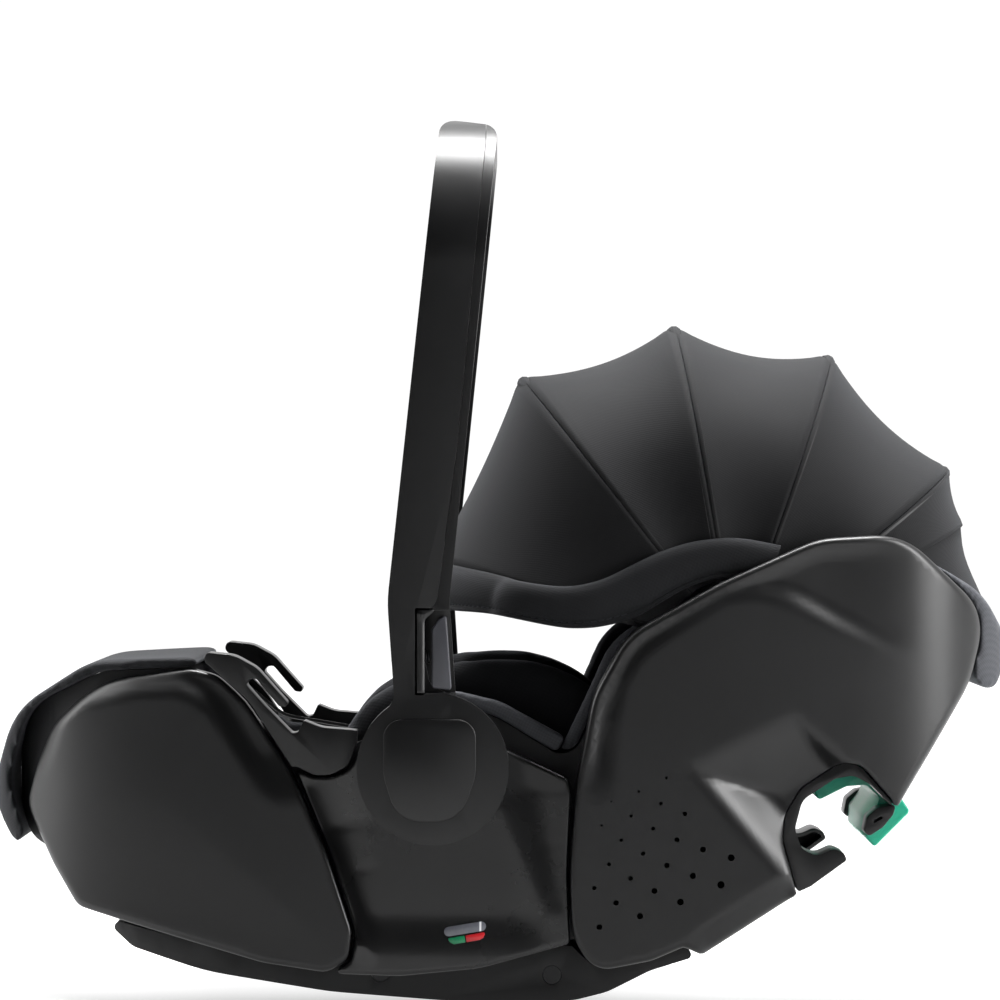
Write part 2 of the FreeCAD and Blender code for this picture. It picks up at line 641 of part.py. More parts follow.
# ---------------------------------------------------------------- rear belt path
surround = extrude("surround_side", rounded(BELT_SURROUND), SURROUND_OUT - SURROUND_IN, symmetric=False)
surround.Placement = Placement(Vector(0, -SURROUND_IN, 0), Rotation())
surround_hollow = extrude(
    "surround_hollow", offset(rounded(BELT_SURROUND), -2.5), SURROUND_OUT - SURROUND_IN - 3, symmetric=False
)
surround_hollow.Placement = Placement(Vector(0, -SURROUND_IN + 0.0, 0), Rotation())
pair(cut("surround", surround, surround_hollow, bucket_room), "belt_surround")
keep(extrude("channel", rounded(BELT_CHANNEL), 2 * (SURROUND_IN - gap)), "belt_channel")

# ---------------------------------------------------------------- lap belt guides
GUIDE_DEEP = 26.0
guide_body = design_body("belt_guide")
GUIDE_ROOT = 22.0
pad(guide_body, "guide_pad", rounded(BELT_GUIDE), GUIDE_DEEP + GUIDE_ROOT, lift=bucket_half - GUIDE_ROOT)
pair(cut("guide", guide_body, bucket_room), "lap_belt_guide")

# ---------------------------------------------------------------- padded rims
FOOT_RIM_HALF = 176.0 - 193.0 + cover_half
keep(
    common(
        "foot_rim",
        extrude("foot_rim_side", rounded(FOOT_RIM), 500),
        plan("foot_rim_plan", FOOT_RIM_HALF, 340.0),
    ),
    "foot_rim_pad",
)
rim_half = bucket_half + 1.5
head_rim_block = common(
    "head_rim_block",
    extrude("head_rim_side", rounded(HEAD_RIM), 500),
    plan("head_rim_plan", rim_half, 340.0),
)
above_rim = extrude("above_rim", offset(rounded(BUCKET), 0.3), 500)
head_solid_side = extrude("head_solid_side", offset(rounded(HEAD_SHELL), 0.4), 500)
head_solid_plan = plan("head_solid_plan", cover_half + 1, size["plan_reach"] + 1)
head_solid = cut("head_solid", common("head_solid_block", head_solid_side, head_solid_plan), bucket_room)
head_rim_room = plan("head_rim_room", bucket_half - size["bucket_wall"] - 8, bucket_reach - 12)
keep(cut("head_rim", head_rim_block, head_rim_room, above_rim, head_solid), "head_rim_pad")
side_rim_block = extrude("side_rim_side", rounded(SIDE_RIM), 20, symmetric=False)
side_rim_block.Placement = Placement(Vector(0, -bucket_half + 14, 0), Rotation())
head_rim_end = extrude("head_rim_end", offset(rounded(HEAD_RIM), 0.3), 500)
pair(cut("side_rim", side_rim_block, above_rim, head_rim_end), "side_rim_pad")

# ---------------------------------------------------------------- handle
handle_side = extrude("handle_side", rounded(HANDLE_SIDE), 2 * leg_outer + 20)
corner, leg = size["handle_corner"], size["handle_leg"]
top, grip = size["handle_top"], size["grip_thick"]
LEG_FOOT = 150.0
frame_curves = rounded(
    [
        (-leg_outer, LEG_FOOT, 0), (-leg_inner, LEG_FOOT, 0), (-leg_inner, top - grip, corner - leg),
        (leg_inner, top - grip, corner - leg), (leg_inner, LEG_FOOT, 0), (leg_outer, LEG_FOOT, 0),
        (leg_outer, top, corner), (-leg_outer, top, corner),
    ],
    stretched=False,
)
handle_frame = extrude("handle_frame", frame_curves, 300, "YZ")
handle_loop = common("handle_loop", handle_side, handle_frame)
hub_discs = both_barrels("hub_disc", hub_x, hub_z, "dims.hub_radius", leg_inner - 0.5, leg_outer)
handle_blank = fuse("handle_blank", handle_loop, *hub_discs)
shaft_bores = both_barrels(
    "shaft_bore", hub_x, hub_z, "dims.shaft_radius + dims.running_gap", leg_inner - 5, leg_outer + 5
)
LOCK_ROOM = 12.0
lug_count = 8


def lock_profile(radius, grown):
    """Outline of the lock ring: a disc with square lugs, each a short radial block."""
    points = []
    for i in range(lug_count):
        middle = 2 * math.pi * i / lug_count
        half = (3.0 + grown) / radius
        for angle, reach in (
            (middle - half, radius + grown), (middle - half, radius + 4 + grown),
            (middle + half, radius + 4 + grown), (middle + half, radius + grown),
        ):
            points.append((hub_x + reach * math.cos(angle), hub_z + reach * math.sin(angle), 0))
    return rounded(points, stretched=False)


lock_room = extrude("lock_room", lock_profile(size["lock_radius"], 0.4), LOCK_ROOM, symmetric=False)
lock_room.Placement = Placement(Vector(0, -leg_inner + 1, 0), Rotation())
lock_room_right = mirrored(lock_room, "lock_room_mirror")
POCKET_IN = leg_inner + 5.5
button_pockets = [
    box(
        f"button_pocket_{word}",
        (hub_x - 10, min(side * POCKET_IN, side * (leg_outer + 5)), hub_z + 49),
        (hub_x + 40, max(side * POCKET_IN, side * (leg_outer + 5)), hub_z + 102),
    )
    for word, side in SIDES
]
handle_cut = cut("handle_cut", handle_blank, *shaft_bores, lock_room, lock_room_right, *button_pockets)
rear_zone = extrude("handle_rear_zone", rounded(HANDLE_REAR), 2 * leg_outer + 40)
rear_zone_grown = extrude("handle_rear_zone_grown", offset(rounded(HANDLE_REAR), 0.25), 2 * leg_outer + 40)
keep(cut("handle_front", handle_cut, rear_zone_grown), "handle_front_shell")
keep(common("handle_rear", handle_cut, rear_zone), "handle_rear_shell")

cap_body = design_body("hub_cap")
pad(cap_body, "cap_pad", rounded(HUB_CAP), "dims.hub_cap_thick", lift=leg_outer + 0.2)
doc.recompute()
both(cap_body, "hub_caps")

button_body = design_body("handle_button")
BUTTON_WIDE = 11.0
pad(button_body, "button_pad", rounded(BUTTON), BUTTON_WIDE, lift=POCKET_IN + 0.5)
pair(button_body, "handle_button")

lock_body = design_body("lock_ring")
pad(lock_body, "lock_pad", lock_profile(size["lock_radius"], 0.0), "dims.lock_thick", lift=leg_inner + 1.0)
lock_bore = lock_body.newObject("PartDesign::Pocket", "lock_bore")
lock_bore_round = circle(hub_x, hub_z, size["shaft_radius"] + 1)
lock_bore.Profile = body_sketch(lock_body, "lock_bore_sketch", lock_bore_round, lift=leg_inner)
lock_bore.Type = "ThroughAll"
lock_bore.Midplane = True
doc.recompute()
pair(lock_body, "lock_ring")


def coil_spring(label, start, axis, coil_radius, wire_radius, length, turns):
    """Helical compression spring whose axis starts at a point."""
    helix = Part.makeHelix(length / turns, length, coil_radius)
    profile = Part.Wire(Part.Circle(Vector(coil_radius, 0, 0), Vector(0, 1, 0), wire_radius).toShape())
    spring = Part.Wire(helix.Edges).makePipeShell([profile], True, True)
    made = doc.addObject("Part::Feature", label)
    made.Shape = spring
    made.Placement = Placement(start, Rotation(Vector(0, 0, 1), axis))
    return made


SPRING_COIL, SPRING_WIRE = 3.5, 0.6
SPRING_TURNS = 4
spring_room = 8.8 - SPRING_WIRE * 2 - 0.6
button_x = min(p[0] for p in BUTTON) * stretch
for word, side in SIDES:
    spring = coil_spring(
        f"button_spring_{word}",
        Vector(hub_x - 10 + SPRING_WIRE + 0.2, side * (POCKET_IN + 0.5 + BUTTON_WIDE / 2), hub_z + 72),
        Vector(1, 0, 0), SPRING_COIL, SPRING_WIRE, spring_room, SPRING_TURNS,
    )
    keep(spring, f"button_spring_{word}")

pivot_body = design_body("hub_pivot")
round_body(pivot_body, "pivot_boss", hub_x, hub_z, "boss_radius", leg_inner - 1 - bucket_half - gap, bucket_half + gap)
round_body(pivot_body, "pivot_shaft", hub_x, hub_z, "shaft_radius", leg_outer - leg_inner + 0.8, leg_inner - 1)
pair(pivot_body, "hub_pivot")

# ---------------------------------------------------------------- canopy
# Bow: (name, angle above the horizontal behind the pivot, reach of its tip from the pivot, how much narrower)
BOWS = [
    ("canopy_bow_front", 163.8, 202.0, 0.0), ("canopy_bow_second", 127.7, 223.5, 0.0),
    ("canopy_bow_third", 99.5, 214.0, 0.0), ("canopy_bow_fourth", 70.3, 203.5, 3.0),
    ("canopy_bow_rear", 38.4, 187.5, 10.0),
]
BOW_SQUARENESS = 2.5
BOW_STACK = 2.7
JOG_START, JOG_END = 42.0, 72.0
PANEL_START = 42.0
canopy_half = size["canopy_half_width"] - 193.0 + cover_half


def arch(half_width, start, tip, steps=14):
    """Points of a superelliptic arch from one side to the other, as (reach, y)."""
    points = []
    for i in range(2 * steps + 1):
        angle = math.pi * i / (2 * steps)
        across = math.copysign(abs(math.cos(angle)) ** (2 / BOW_SQUARENESS), math.cos(angle))
        out = abs(math.sin(angle)) ** (2 / BOW_SQUARENESS)
        points.append(Vector(start + (tip - start) * out, half_width * across, 0))
    return points


def spline(points):
    curve = Part.BSplineCurve()
    curve.interpolate(points)
    return curve


def bow_curves(stack_y, half_width, tip):
    """Flat strip from one eyelet, out to the arch and back to the other eyelet."""
    strip = size["bow_strip"]
    outer = arch(half_width, JOG_END, tip)
    inner = arch(half_width - strip, JOG_END, tip - strip)
    curves = [spline(outer), spline(inner)]
    for sign in (1, -1):
        leg_points = [
            Vector(JOG_END, sign * half_width, 0), Vector(JOG_START, sign * (stack_y + strip), 0),
            Vector(0, sign * (stack_y + strip), 0), Vector(0, sign * stack_y, 0),
            Vector(JOG_START, sign * stack_y, 0), Vector(JOG_END, sign * (half_width - strip), 0),
        ]
        curves += [Part.LineSegment(a, b) for a, b in zip(leg_points, leg_points[1:])]
    return curves


EYELET = 9.0
for i, (label, angle, reach, narrower) in enumerate(BOWS):
    stack_y = bucket_half + 2.5 + BOW_STACK * i
    curves = bow_curves(stack_y, canopy_half - size["fabric_thick"] - 1.0 - narrower, reach)
    strip = extrude(label + "_strip", curves, "dims.bow_width", "XY")
    eyelets = both_barrels(label + "_eyelet", 0, 0, EYELET, stack_y, stack_y + size["bow_strip"])
    holes = both_barrels(label + "_hole", 0, 0, "dims.canopy_pin + dims.running_gap", bucket_half, bucket_half + 30)
    bow = cut(label + "_bow", fuse(label + "_blank", strip, *eyelets), *holes)
    bow.Placement = Placement(Vector(pivot_x, 0, pivot_z), Rotation(Vector(0, 1, 0), -angle))
    keep(bow, label)

pin_body = design_body("canopy_pin")
pin_length = BOW_STACK * len(BOWS) + 3.0
round_body(pin_body, "pin_shaft", pivot_x, pivot_z, "canopy_pin", pin_length, bucket_half + gap)
pad(pin_body, "pin_head", circle(pivot_x, pivot_z, 8.0), 2.0, lift=bucket_half + gap + pin_length)
both(pin_body, "canopy_pins")


def panel_wire(angle, half_width, tip):
    """Closed section of the fabric in the half plane at that angle about the pivot."""
    inner_half = half_width - size["fabric_thick"]
    outer = arch(half_width, JOG_END, tip)
    inner = arch(inner_half, JOG_END, tip - size["fabric_thick"])
    corners = [
        outer[-1], Vector(PANEL_START, -half_width, 0), Vector(PANEL_START, -inner_half, 0), inner[-1],
        inner[0], Vector(PANEL_START, inner_half, 0), Vector(PANEL_START, half_width, 0), outer[0],
    ]
    edges = [spline(outer).toShape(), spline(inner).toShape()]
    edges += [Part.LineSegment(a, b).toShape() for a, b in zip(corners[:3], corners[1:4])]
    edges += [Part.LineSegment(a, b).toShape() for a, b in zip(corners[4:7], corners[5:8])]
    wire = Part.Wire(Part.__sortEdges__(edges))
    wire.Placement = Placement(Vector(pivot_x, 0, pivot_z), Rotation(Vector(0, 1, 0), -angle))
    return wire


def bow_slab(angle):
    """The room that a bow needs between two panels."""
    half = size["bow_width"] / 2 + 0.4
    slab = Part.makeBox(400, 500, 2 * half, Vector(-5, -250, -half))
    slab.Placement = Placement(Vector(pivot_x, 0, pivot_z), Rotation(Vector(0, 1, 0), -angle))
    return slab


def canopy_panel(label, start, end, middle_tip, pull=7.0):
    """Fabric between two bows, pulled in at its middle. start and end are (angle, reach, how much narrower)."""
    (angle_a, tip_a, less_a), (angle_b, tip_b, less_b) = start, end
    sections = [
        panel_wire(angle_a, canopy_half - less_a, tip_a + 1.9),
        panel_wire((angle_a + angle_b) / 2, canopy_half - pull - (less_a + less_b) / 2, middle_tip),
        panel_wire(angle_b, canopy_half - less_b, tip_b + 1.9),
    ]
    shape = Part.makeLoft(sections, True, False)
    for angle in (angle_a, angle_b):
        shape = shape.cut(bow_slab(angle))
    made = doc.addObject("Part::Feature", label)
    made.Shape = max(shape.Solids, key=lambda s: s.Volume)
    return keep(made, label)


bow_ends = [(angle, reach, narrower) for _, angle, reach, narrower in BOWS]
canopy_panel("canopy_panel_front", bow_ends[0], bow_ends[1], 199.0)
canopy_panel("canopy_panel_second", bow_ends[1], bow_ends[2], 203.5)
canopy_panel("canopy_panel_third", bow_ends[2], bow_ends[3], 192.0)
canopy_panel("canopy_panel_fourth", bow_ends[3], bow_ends[4], 180.0)
canopy_panel("canopy_panel_rear", bow_ends[4], (27.0, 176.0, 24.0), 178.0, pull=4.0)

BAND_THICK = 3.0
band_sections = []
for angle in (164.2, 169.0, 173.0):
    outer = arch(canopy_half, JOG_END + 34, BOWS[0][2] + 1.5)
    inner = arch(canopy_half - BAND_THICK, JOG_END + 34, BOWS[0][2] + 1.5 - BAND_THICK)
    edges = [
        spline(outer).toShape(), Part.LineSegment(outer[-1], inner[-1]).toShape(),
        spline(inner).toShape(), Part.LineSegment(inner[0], outer[0]).toShape(),
    ]
    wire = Part.Wire(Part.__sortEdges__(edges))
    wire.Placement = Placement(Vector(pivot_x, 0, pivot_z), Rotation(Vector(0, 1, 0), -angle))
    band_sections.append(wire)
band = doc.addObject("Part::Feature", "front_band")
band.Shape = Part.makeLoft(band_sections, True, False).cut(bow_slab(BOWS[0][1]))
keep(band, "canopy_front_band")

# ---------------------------------------------------------------- headrest, on the line of the backrest
REST_START = 105.0
rest_end = REST_START + size["headrest_long"]
rest_low = liner_end + 1.0
SHELL_THICK = 5.0
WING_HIGH = 92.0
rest_half = size["headrest_half_width"]
wing = [
    (REST_START, rest_low, 6), (rest_end, rest_low, 6), (rest_end, rest_low + 60, 40),
    (rest_end - 30, rest_low + WING_HIGH, 40), (REST_START, rest_low + WING_HIGH - 20, 30),
]
rest_block = extrude("rest_block", rounded(wing, stretched=False), 2 * rest_half)
rest_room = box(
    "rest_room", (REST_START - 5, -rest_half + SHELL_THICK, rest_low + SHELL_THICK),
    (rest_end + 5, rest_half - SHELL_THICK, 300),
)
GRIP_CORNERS = [(rest_end - 4, -30, 0), (rest_end + 22, -24, 12), (rest_end + 22, 24, 12), (rest_end - 4, 30, 0)]
grip_outline = rounded(GRIP_CORNERS, False)
rest_grip = extrude("rest_grip", grip_outline, SHELL_THICK + 3, "XY", symmetric=False)
rest_grip.Placement = Placement(Vector(0, 0, rest_low), Rotation())
keep(on_back(fuse("rest_piece", cut("rest_shell", rest_block, rest_room), rest_grip)), "headrest_shell")
PAD_THICK = 12.0
pad_half = rest_half - SHELL_THICK - gap
pad_low = rest_low + SHELL_THICK + gap
pad_outline = [
    (REST_START, pad_low, 4), (rest_end - 6, pad_low, 4), (rest_end - 6, rest_low + 56, 36),
    (rest_end - 34, rest_low + WING_HIGH - 4, 36), (REST_START, rest_low + WING_HIGH - 24, 28),
]
rest_pad_block = extrude("rest_pad_block", rounded(pad_outline, stretched=False), 2 * pad_half)
rest_pad_room = box(
    "rest_pad_room", (REST_START - 9, -pad_half + PAD_THICK, pad_low + PAD_THICK), (rest_end + 5, pad_half - PAD_THICK, 300)
)
keep(on_back(cut("rest_pad", rest_pad_block, rest_pad_room)), "headrest_pad")

# ---------------------------------------------------------------- harness
BUCKLE_TILT = 12.0
buckle_turn = Rotation(Vector(0, 1, 0), -BUCKLE_TILT)
buckle_frame = Placement(Vector(4 * stretch, 0, 88), buckle_turn)
BUCKLE_THICK = 21.0
buckle_outline = rounded(
    [(-26, -20, 10), (-26, 20, 10), (0, 29, 12), (26, 25, 8), (26, -25, 8), (0, -29, 12)], False
)
buckle_block = extrude("buckle_block", buckle_outline, BUCKLE_THICK, "XY", symmetric=False)
BUTTON_LONG, BUTTON_HALF, BUTTON_TALL, BUCKLE_TRAVEL = 22.0, 15.0, 10.0, 4.0
BUTTON_PROUD = 1.5
button_room = box(
    "button_room", (-18, -BUTTON_HALF - 0.4, BUCKLE_THICK - BUTTON_TALL - BUCKLE_TRAVEL),
    (-18 + BUTTON_LONG + 0.8, BUTTON_HALF + 0.4, BUCKLE_THICK + 5),
)
TONGUE_IN, TONGUE_OUT = 3.0, 21.0
TONGUE_LOW, TONGUE_THICK, TONGUE_END = 4.0, 2.4, 48.0
tongue_slots = [
    box(
        f"tongue_slot_{word}", (6, min(side * TONGUE_IN, side * TONGUE_OUT) - 0.3, TONGUE_LOW - 0.3),
        (30, max(side * TONGUE_IN, side * TONGUE_OUT) + 0.3, TONGUE_LOW + TONGUE_THICK + 0.3),
    )
    for word, side in SIDES
]
buckle = cut("buckle", buckle_block, button_room, *tongue_slots)
buckle.Placement = buckle_frame
keep(buckle, "buckle_body")
red_body = design_body("buckle_button")
red_outline = rounded(
    [
        (-17.6, -BUTTON_HALF, 4), (-17.6, BUTTON_HALF, 4),
        (-17.6 + BUTTON_LONG, BUTTON_HALF, 4), (-17.6 + BUTTON_LONG, -BUTTON_HALF, 4),
    ],
    False,
)
pad(red_body, "red_pad", red_outline, BUTTON_TALL, "XY_Plane", BUCKLE_THICK - BUTTON_TALL + BUTTON_PROUD)
red_body.Placement = buckle_frame
keep(red_body, "buckle_button")
for word, side in SIDES:
    low_y, high_y = sorted((side * TONGUE_IN, side * TONGUE_OUT))
    middle = side * STRAP_MIDDLE
    blade = box(f"blade_{word}", (7, low_y, TONGUE_LOW), (34, high_y, TONGUE_LOW + TONGUE_THICK))
    wide_low, wide_high = sorted((side * 6.0, side * (STRAP_MIDDLE + webbing / 2 + 3)))
    plate = box(f"plate_{word}", (29, wide_low, TONGUE_LOW), (TONGUE_END, wide_high, TONGUE_LOW + TONGUE_THICK))
    tongue = fuse(f"tongue_{word}", blade, plate)
    tongue.Placement = buckle_frame
    keep(tongue, f"buckle_tongue_{word}")


def world(placement, along, out):
    """Side-view point (x, z) of a point in a frame that is turned about Y."""
    spot = placement.multVec(Vector(along, 0, out))
    return (spot.x, spot.z)


# Shoulder webbing: from the tongue, over the insert, and through its slot to the bucket's back.
STRAP_LEVEL = 21.0
strap_start = world(buckle_frame, 34, TONGUE_LOW + TONGUE_THICK + 0.3 + web_thick / 2)
strap_bend = world(back_frame, STRAP_SLOT, STRAP_LEVEL)
strap_end = world(back_frame, STRAP_SLOT, 0.4)
run = Vector(strap_bend[0] - strap_start[0], 0, strap_bend[1] - strap_start[1])
run_frame = Placement(
    Vector(strap_start[0], 0, strap_start[1]), Rotation(Vector(0, 1, 0), -math.degrees(math.atan2(run.z, run.x)))
)
CUSHION_START, CUSHION_END, CUSHION_THICK = 17.0, 15.0, 5.0
for word, side in SIDES:
    middle = side * STRAP_MIDDLE
    strap = tape(f"strap_{word}", [strap_start, strap_bend, strap_end], web_thick, middle, webbing)
    keep(strap, f"shoulder_strap_{word}")
    half = webbing / 2
    cushion = box(
        f"cushion_{word}", (CUSHION_START, middle - half - 5, -CUSHION_THICK),
        (run.Length - CUSHION_END, middle + half + 5, CUSHION_THICK),
    )
    sleeve = box(
        f"sleeve_{word}", (0, middle - half - 0.5, -web_thick / 2 - 0.3), (run.Length, middle + half + 0.5, web_thick / 2 + 0.3)
    )
    cushion_piece = cut(f"shoulder_cushion_{word}", cushion, sleeve)
    cushion_piece.Placement = run_frame
    keep(cushion_piece, f"shoulder_pad_{word}")

crotch_start = world(buckle_frame, -26.4, 6)
crotch_path = [crotch_start, (CROTCH_X, crotch_start[1] - 9), (CROTCH_X, 42.4)]
keep(tape("crotch", crotch_path, web_thick, 0, webbing), "crotch_strap")

# Adjuster at the front of the seat, on the liner's rise to the foot end.
slope_low, slope_high = Vector(-140 * stretch, 0, 62), Vector(-195 * stretch, 0, 120)
slope = (slope_low - slope_high).normalize()
slope_out = Vector(-slope.z, 0, slope.x)
adjust_angle = math.degrees(math.atan2(-slope.z, slope.x))
adjust_spot = (slope_low + slope_high) / 2 + slope_out * (liner_end + 0.3) - slope * 12
adjust_frame = Placement(adjust_spot, Rotation(Vector(0, 1, 0), adjust_angle))
adjust_block = box("adjust_block", (-20, -19, 0), (20, 19, 9))
adjust_room = box("adjust_room", (-14, -12.4, 2.5), (14, 12.4, 20))
adjuster = cut("adjuster", adjust_block, adjust_room)
adjuster.Placement = adjust_frame
keep(adjuster, "adjuster_housing")
adjust_body = design_body("adjuster_button")
adjust_outline = rounded([(-13.6, -12, 3), (13.6, -12, 3), (13.6, 12, 3), (-13.6, 12, 3)], False)
pad(adjust_body, "adjust_pad", adjust_outline, 4.5, "XY_Plane", 6.5)
adjust_body.Placement = adjust_frame
keep(adjust_body, "adjuster_button")

# ---------------------------------------------------------------- release lever in the back
lever_body = design_body("release_lever")
LEVER_HALF = LEVER_WINDOW - 0.5
lever_outline = rounded([(288.5, 191.5, 3), (296, 187.5, 3), (279, 161.5, 3), (272, 166, 3)])
pad(lever_body, "lever_pad", lever_outline, 2 * LEVER_HALF, lift=-LEVER_HALF)
lever_pin_hole = barrel("lever_pin_hole", 290.5 * stretch, 188.5, 1.5, -LEVER_HALF - 1, LEVER_HALF + 1)
keep(cut("lever_bored", lever_body, lever_pin_hole), "release_lever")

# ---------------------------------------------------------------- indicator windows in the middle panels
for_window = rounded([(-37, 37, 3), (-9, 43, 3), (-9, 53, 4), (-37, 47, 4)])
window_body = design_body("indicator_window")
pad(window_body, "window_pad", for_window, 1.6, lift=cover_half - size["mid_inset"] + 0.2)
both(window_body, "indicator_windows")

# ---------------------------------------------------------------- check and write
doc.recompute()
faults = []
for obj in doc.Objects:
    if "Invalid" in obj.State or "Error" in obj.State:
        faults.append(f"{obj.Label}: {obj.State}")
for label, obj in subparts.items():
    shape = obj.Shape
    if shape.isNull() or not shape.isValid() or not shape.Solids:
        faults.append(f"{label}: bad shape")
if faults:
    raise SystemExit("\n".join(faults))
os.makedirs("parts", exist_ok=True)
for label, obj in subparts.items():
    obj.Shape.exportStep(os.path.join("parts", label + ".step"))
    bound = obj.Shape.BoundBox
    spans = (bound.XMin, bound.XMax, bound.YMin, bound.YMax, bound.ZMin, bound.ZMax)
    print(f"{label:24s} solids {len(obj.Shape.Solids)} volume {obj.Shape.Volume / 1000:8.1f} cm3 ", *(f"{s:7.1f}" for s in spans))
print(len(subparts), "sub-parts")
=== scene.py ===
import bmesh
import bpy
import json
import math
import numpy as np
from bpy.props import FloatProperty, FloatVectorProperty, IntProperty, PointerProperty
from mathutils import Matrix, Vector
from mathutils.geometry import delaunay_2d_cdt

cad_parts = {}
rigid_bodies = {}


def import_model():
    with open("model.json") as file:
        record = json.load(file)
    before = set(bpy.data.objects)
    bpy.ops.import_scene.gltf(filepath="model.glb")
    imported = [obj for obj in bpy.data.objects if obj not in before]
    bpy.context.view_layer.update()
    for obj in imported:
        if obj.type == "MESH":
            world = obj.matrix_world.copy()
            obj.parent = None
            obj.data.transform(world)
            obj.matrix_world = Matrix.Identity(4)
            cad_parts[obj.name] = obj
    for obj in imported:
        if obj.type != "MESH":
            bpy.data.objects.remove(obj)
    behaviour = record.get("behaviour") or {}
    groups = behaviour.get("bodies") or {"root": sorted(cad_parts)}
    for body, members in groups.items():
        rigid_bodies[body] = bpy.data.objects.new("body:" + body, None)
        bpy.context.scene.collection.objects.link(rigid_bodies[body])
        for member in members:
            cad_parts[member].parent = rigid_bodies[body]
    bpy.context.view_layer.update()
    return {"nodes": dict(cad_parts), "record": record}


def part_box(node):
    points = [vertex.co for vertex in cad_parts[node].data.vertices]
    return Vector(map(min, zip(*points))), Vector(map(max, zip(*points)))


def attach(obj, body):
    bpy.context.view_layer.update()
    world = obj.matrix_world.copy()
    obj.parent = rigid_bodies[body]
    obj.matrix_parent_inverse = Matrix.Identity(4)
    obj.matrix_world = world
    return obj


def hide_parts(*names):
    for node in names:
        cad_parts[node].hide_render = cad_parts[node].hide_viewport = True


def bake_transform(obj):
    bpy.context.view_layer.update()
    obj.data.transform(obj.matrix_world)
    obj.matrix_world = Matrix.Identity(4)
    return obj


bl_info = {
    "name": "Infant car seat looks",
    "version": (1, 0, 0),
    "blender": (4, 5, 0),
    "location": "View3D > Sidebar > Car seat",
    "description": "Builds covers, canopy, handle, padding and finishes round the packed infant car seat",
    "category": "Object",
}

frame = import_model()
MM = 0.001
LEFT, RIGHT = -1, 1
SIDES = (("left", LEFT), ("right", RIGHT))


def middle(node):
    low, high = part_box(node)
    return (low + high) / 2


PIVOT = middle("canopy_pins") * 1000
COVER_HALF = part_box("head_shell")[1].y * 1000
BUCKET_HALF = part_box("bucket_shell")[1].y * 1000
LEG_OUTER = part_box("handle_front_shell")[1].y * 1000
PLAN_REACH = 330.0  # how far the covers' plan outline reaches from the middle, mm
BUCKET_REACH = 322.0  # the same for the bucket
PANEL_HALF = COVER_HALF - 4.0  # the middle panels stand back by this much
SCOOP_HALF = 167.0  # the belt scoop's floor, from the middle plane
CLOTH_THICK = 0.0012  # metres
CLOTH_LIFT = 1.7  # the cloth runs this far outside a bow, mm


# ---------------------------------------------------------------- sizes and colours a user would change
class ShellSettings(bpy.types.PropertyGroup):
    """Sizes of the moulded covers."""

    grid: FloatProperty(
        name="Mesh spacing", description="Spacing of the covers' surface points, mm", default=4.0, min=2.0
    )
    edge: FloatProperty(name="Edge roll", description="Radius of the covers' rolled edges, mm", default=4.5, min=1.0)
    wall: FloatProperty(name="Wall", description="Wall thickness of the covers", default=0.0025, unit="LENGTH")
    plateau: FloatProperty(name="Plateau", description="Height of the raised panel on the covers, mm", default=4.5)
    colour: FloatVectorProperty(
        name="Colour", description="Colour of the moulded covers",
        default=(0.0065, 0.0065, 0.0069), size=3, subtype="COLOR",
    )
    gloss_colour: FloatVectorProperty(
        name="Glossy colour", description="Colour of handle and middle panels",
        default=(0.0040, 0.0040, 0.0043), size=3, subtype="COLOR",
    )


class CanopySettings(bpy.types.PropertyGroup):
    """Sizes of the canopy."""

    rows: IntProperty(name="Rows", description="Strips of cloth between two bows", default=18, min=4)
    spans: IntProperty(name="Spans", description="Points along a bow", default=88, min=20)
    colour: FloatVectorProperty(
        name="Colour", description="Colour of the canopy cloth",
        default=(0.0085, 0.0086, 0.0092), size=3, subtype="COLOR",
    )
    band_colour: FloatVectorProperty(
        name="Band colour", description="Colour of the canopy's band and the rims",
        default=(0.0095, 0.0098, 0.0108), size=3, subtype="COLOR",
    )


class PaddingSettings(bpy.types.PropertyGroup):
    """Sizes of the padding."""

    belt_green: FloatVectorProperty(
        name="Belt green", description="Colour of the belt path's liner",
        default=(0.010, 0.36, 0.22), size=3, subtype="COLOR",
    )
    liner_colour: FloatVectorProperty(
        name="Liner colour", description="Colour of the seat's liner",
        default=(0.011, 0.0115, 0.0135), size=3, subtype="COLOR",
    )


def settings(name):
    return getattr(bpy.context.scene, name)


# ---------------------------------------------------------------- shader maths
class Sock:
    """A socket that Python's operators can be used on. Each operation adds one Math node."""

    def __init__(self, finish, socket):
        self.finish, self.socket = finish, socket

    def _math(self, operation, *values):
        return self.finish.node("ShaderNodeMath", {"operation": operation}, *values)

    def __add__(self, other):
        return self._math("ADD", self, other)

    def __radd__(self, other):
        return self._math("ADD", other, self)

    def __sub__(self, other):
        return self._math("SUBTRACT", self, other)

    def __rsub__(self, other):
        return self._math("SUBTRACT", other, self)

    def __mul__(self, other):
        return self._math("MULTIPLY", self, other)

    def __rmul__(self, other):
        return self._math("MULTIPLY", other, self)

    def __pow__(self, other):
        return self._math("POWER", self, other)

    def sin(self):
        return self._math("SINE", self)

    def absolute(self):
        return self._math("ABSOLUTE", self)

    def smooth(self, low, high):
        """0 below low, 1 above high, easing between."""
        return self.finish.node(
            "ShaderNodeMapRange", {"interpolation_type": "SMOOTHSTEP"}, self, low, high, 0.0, 1.0
        )


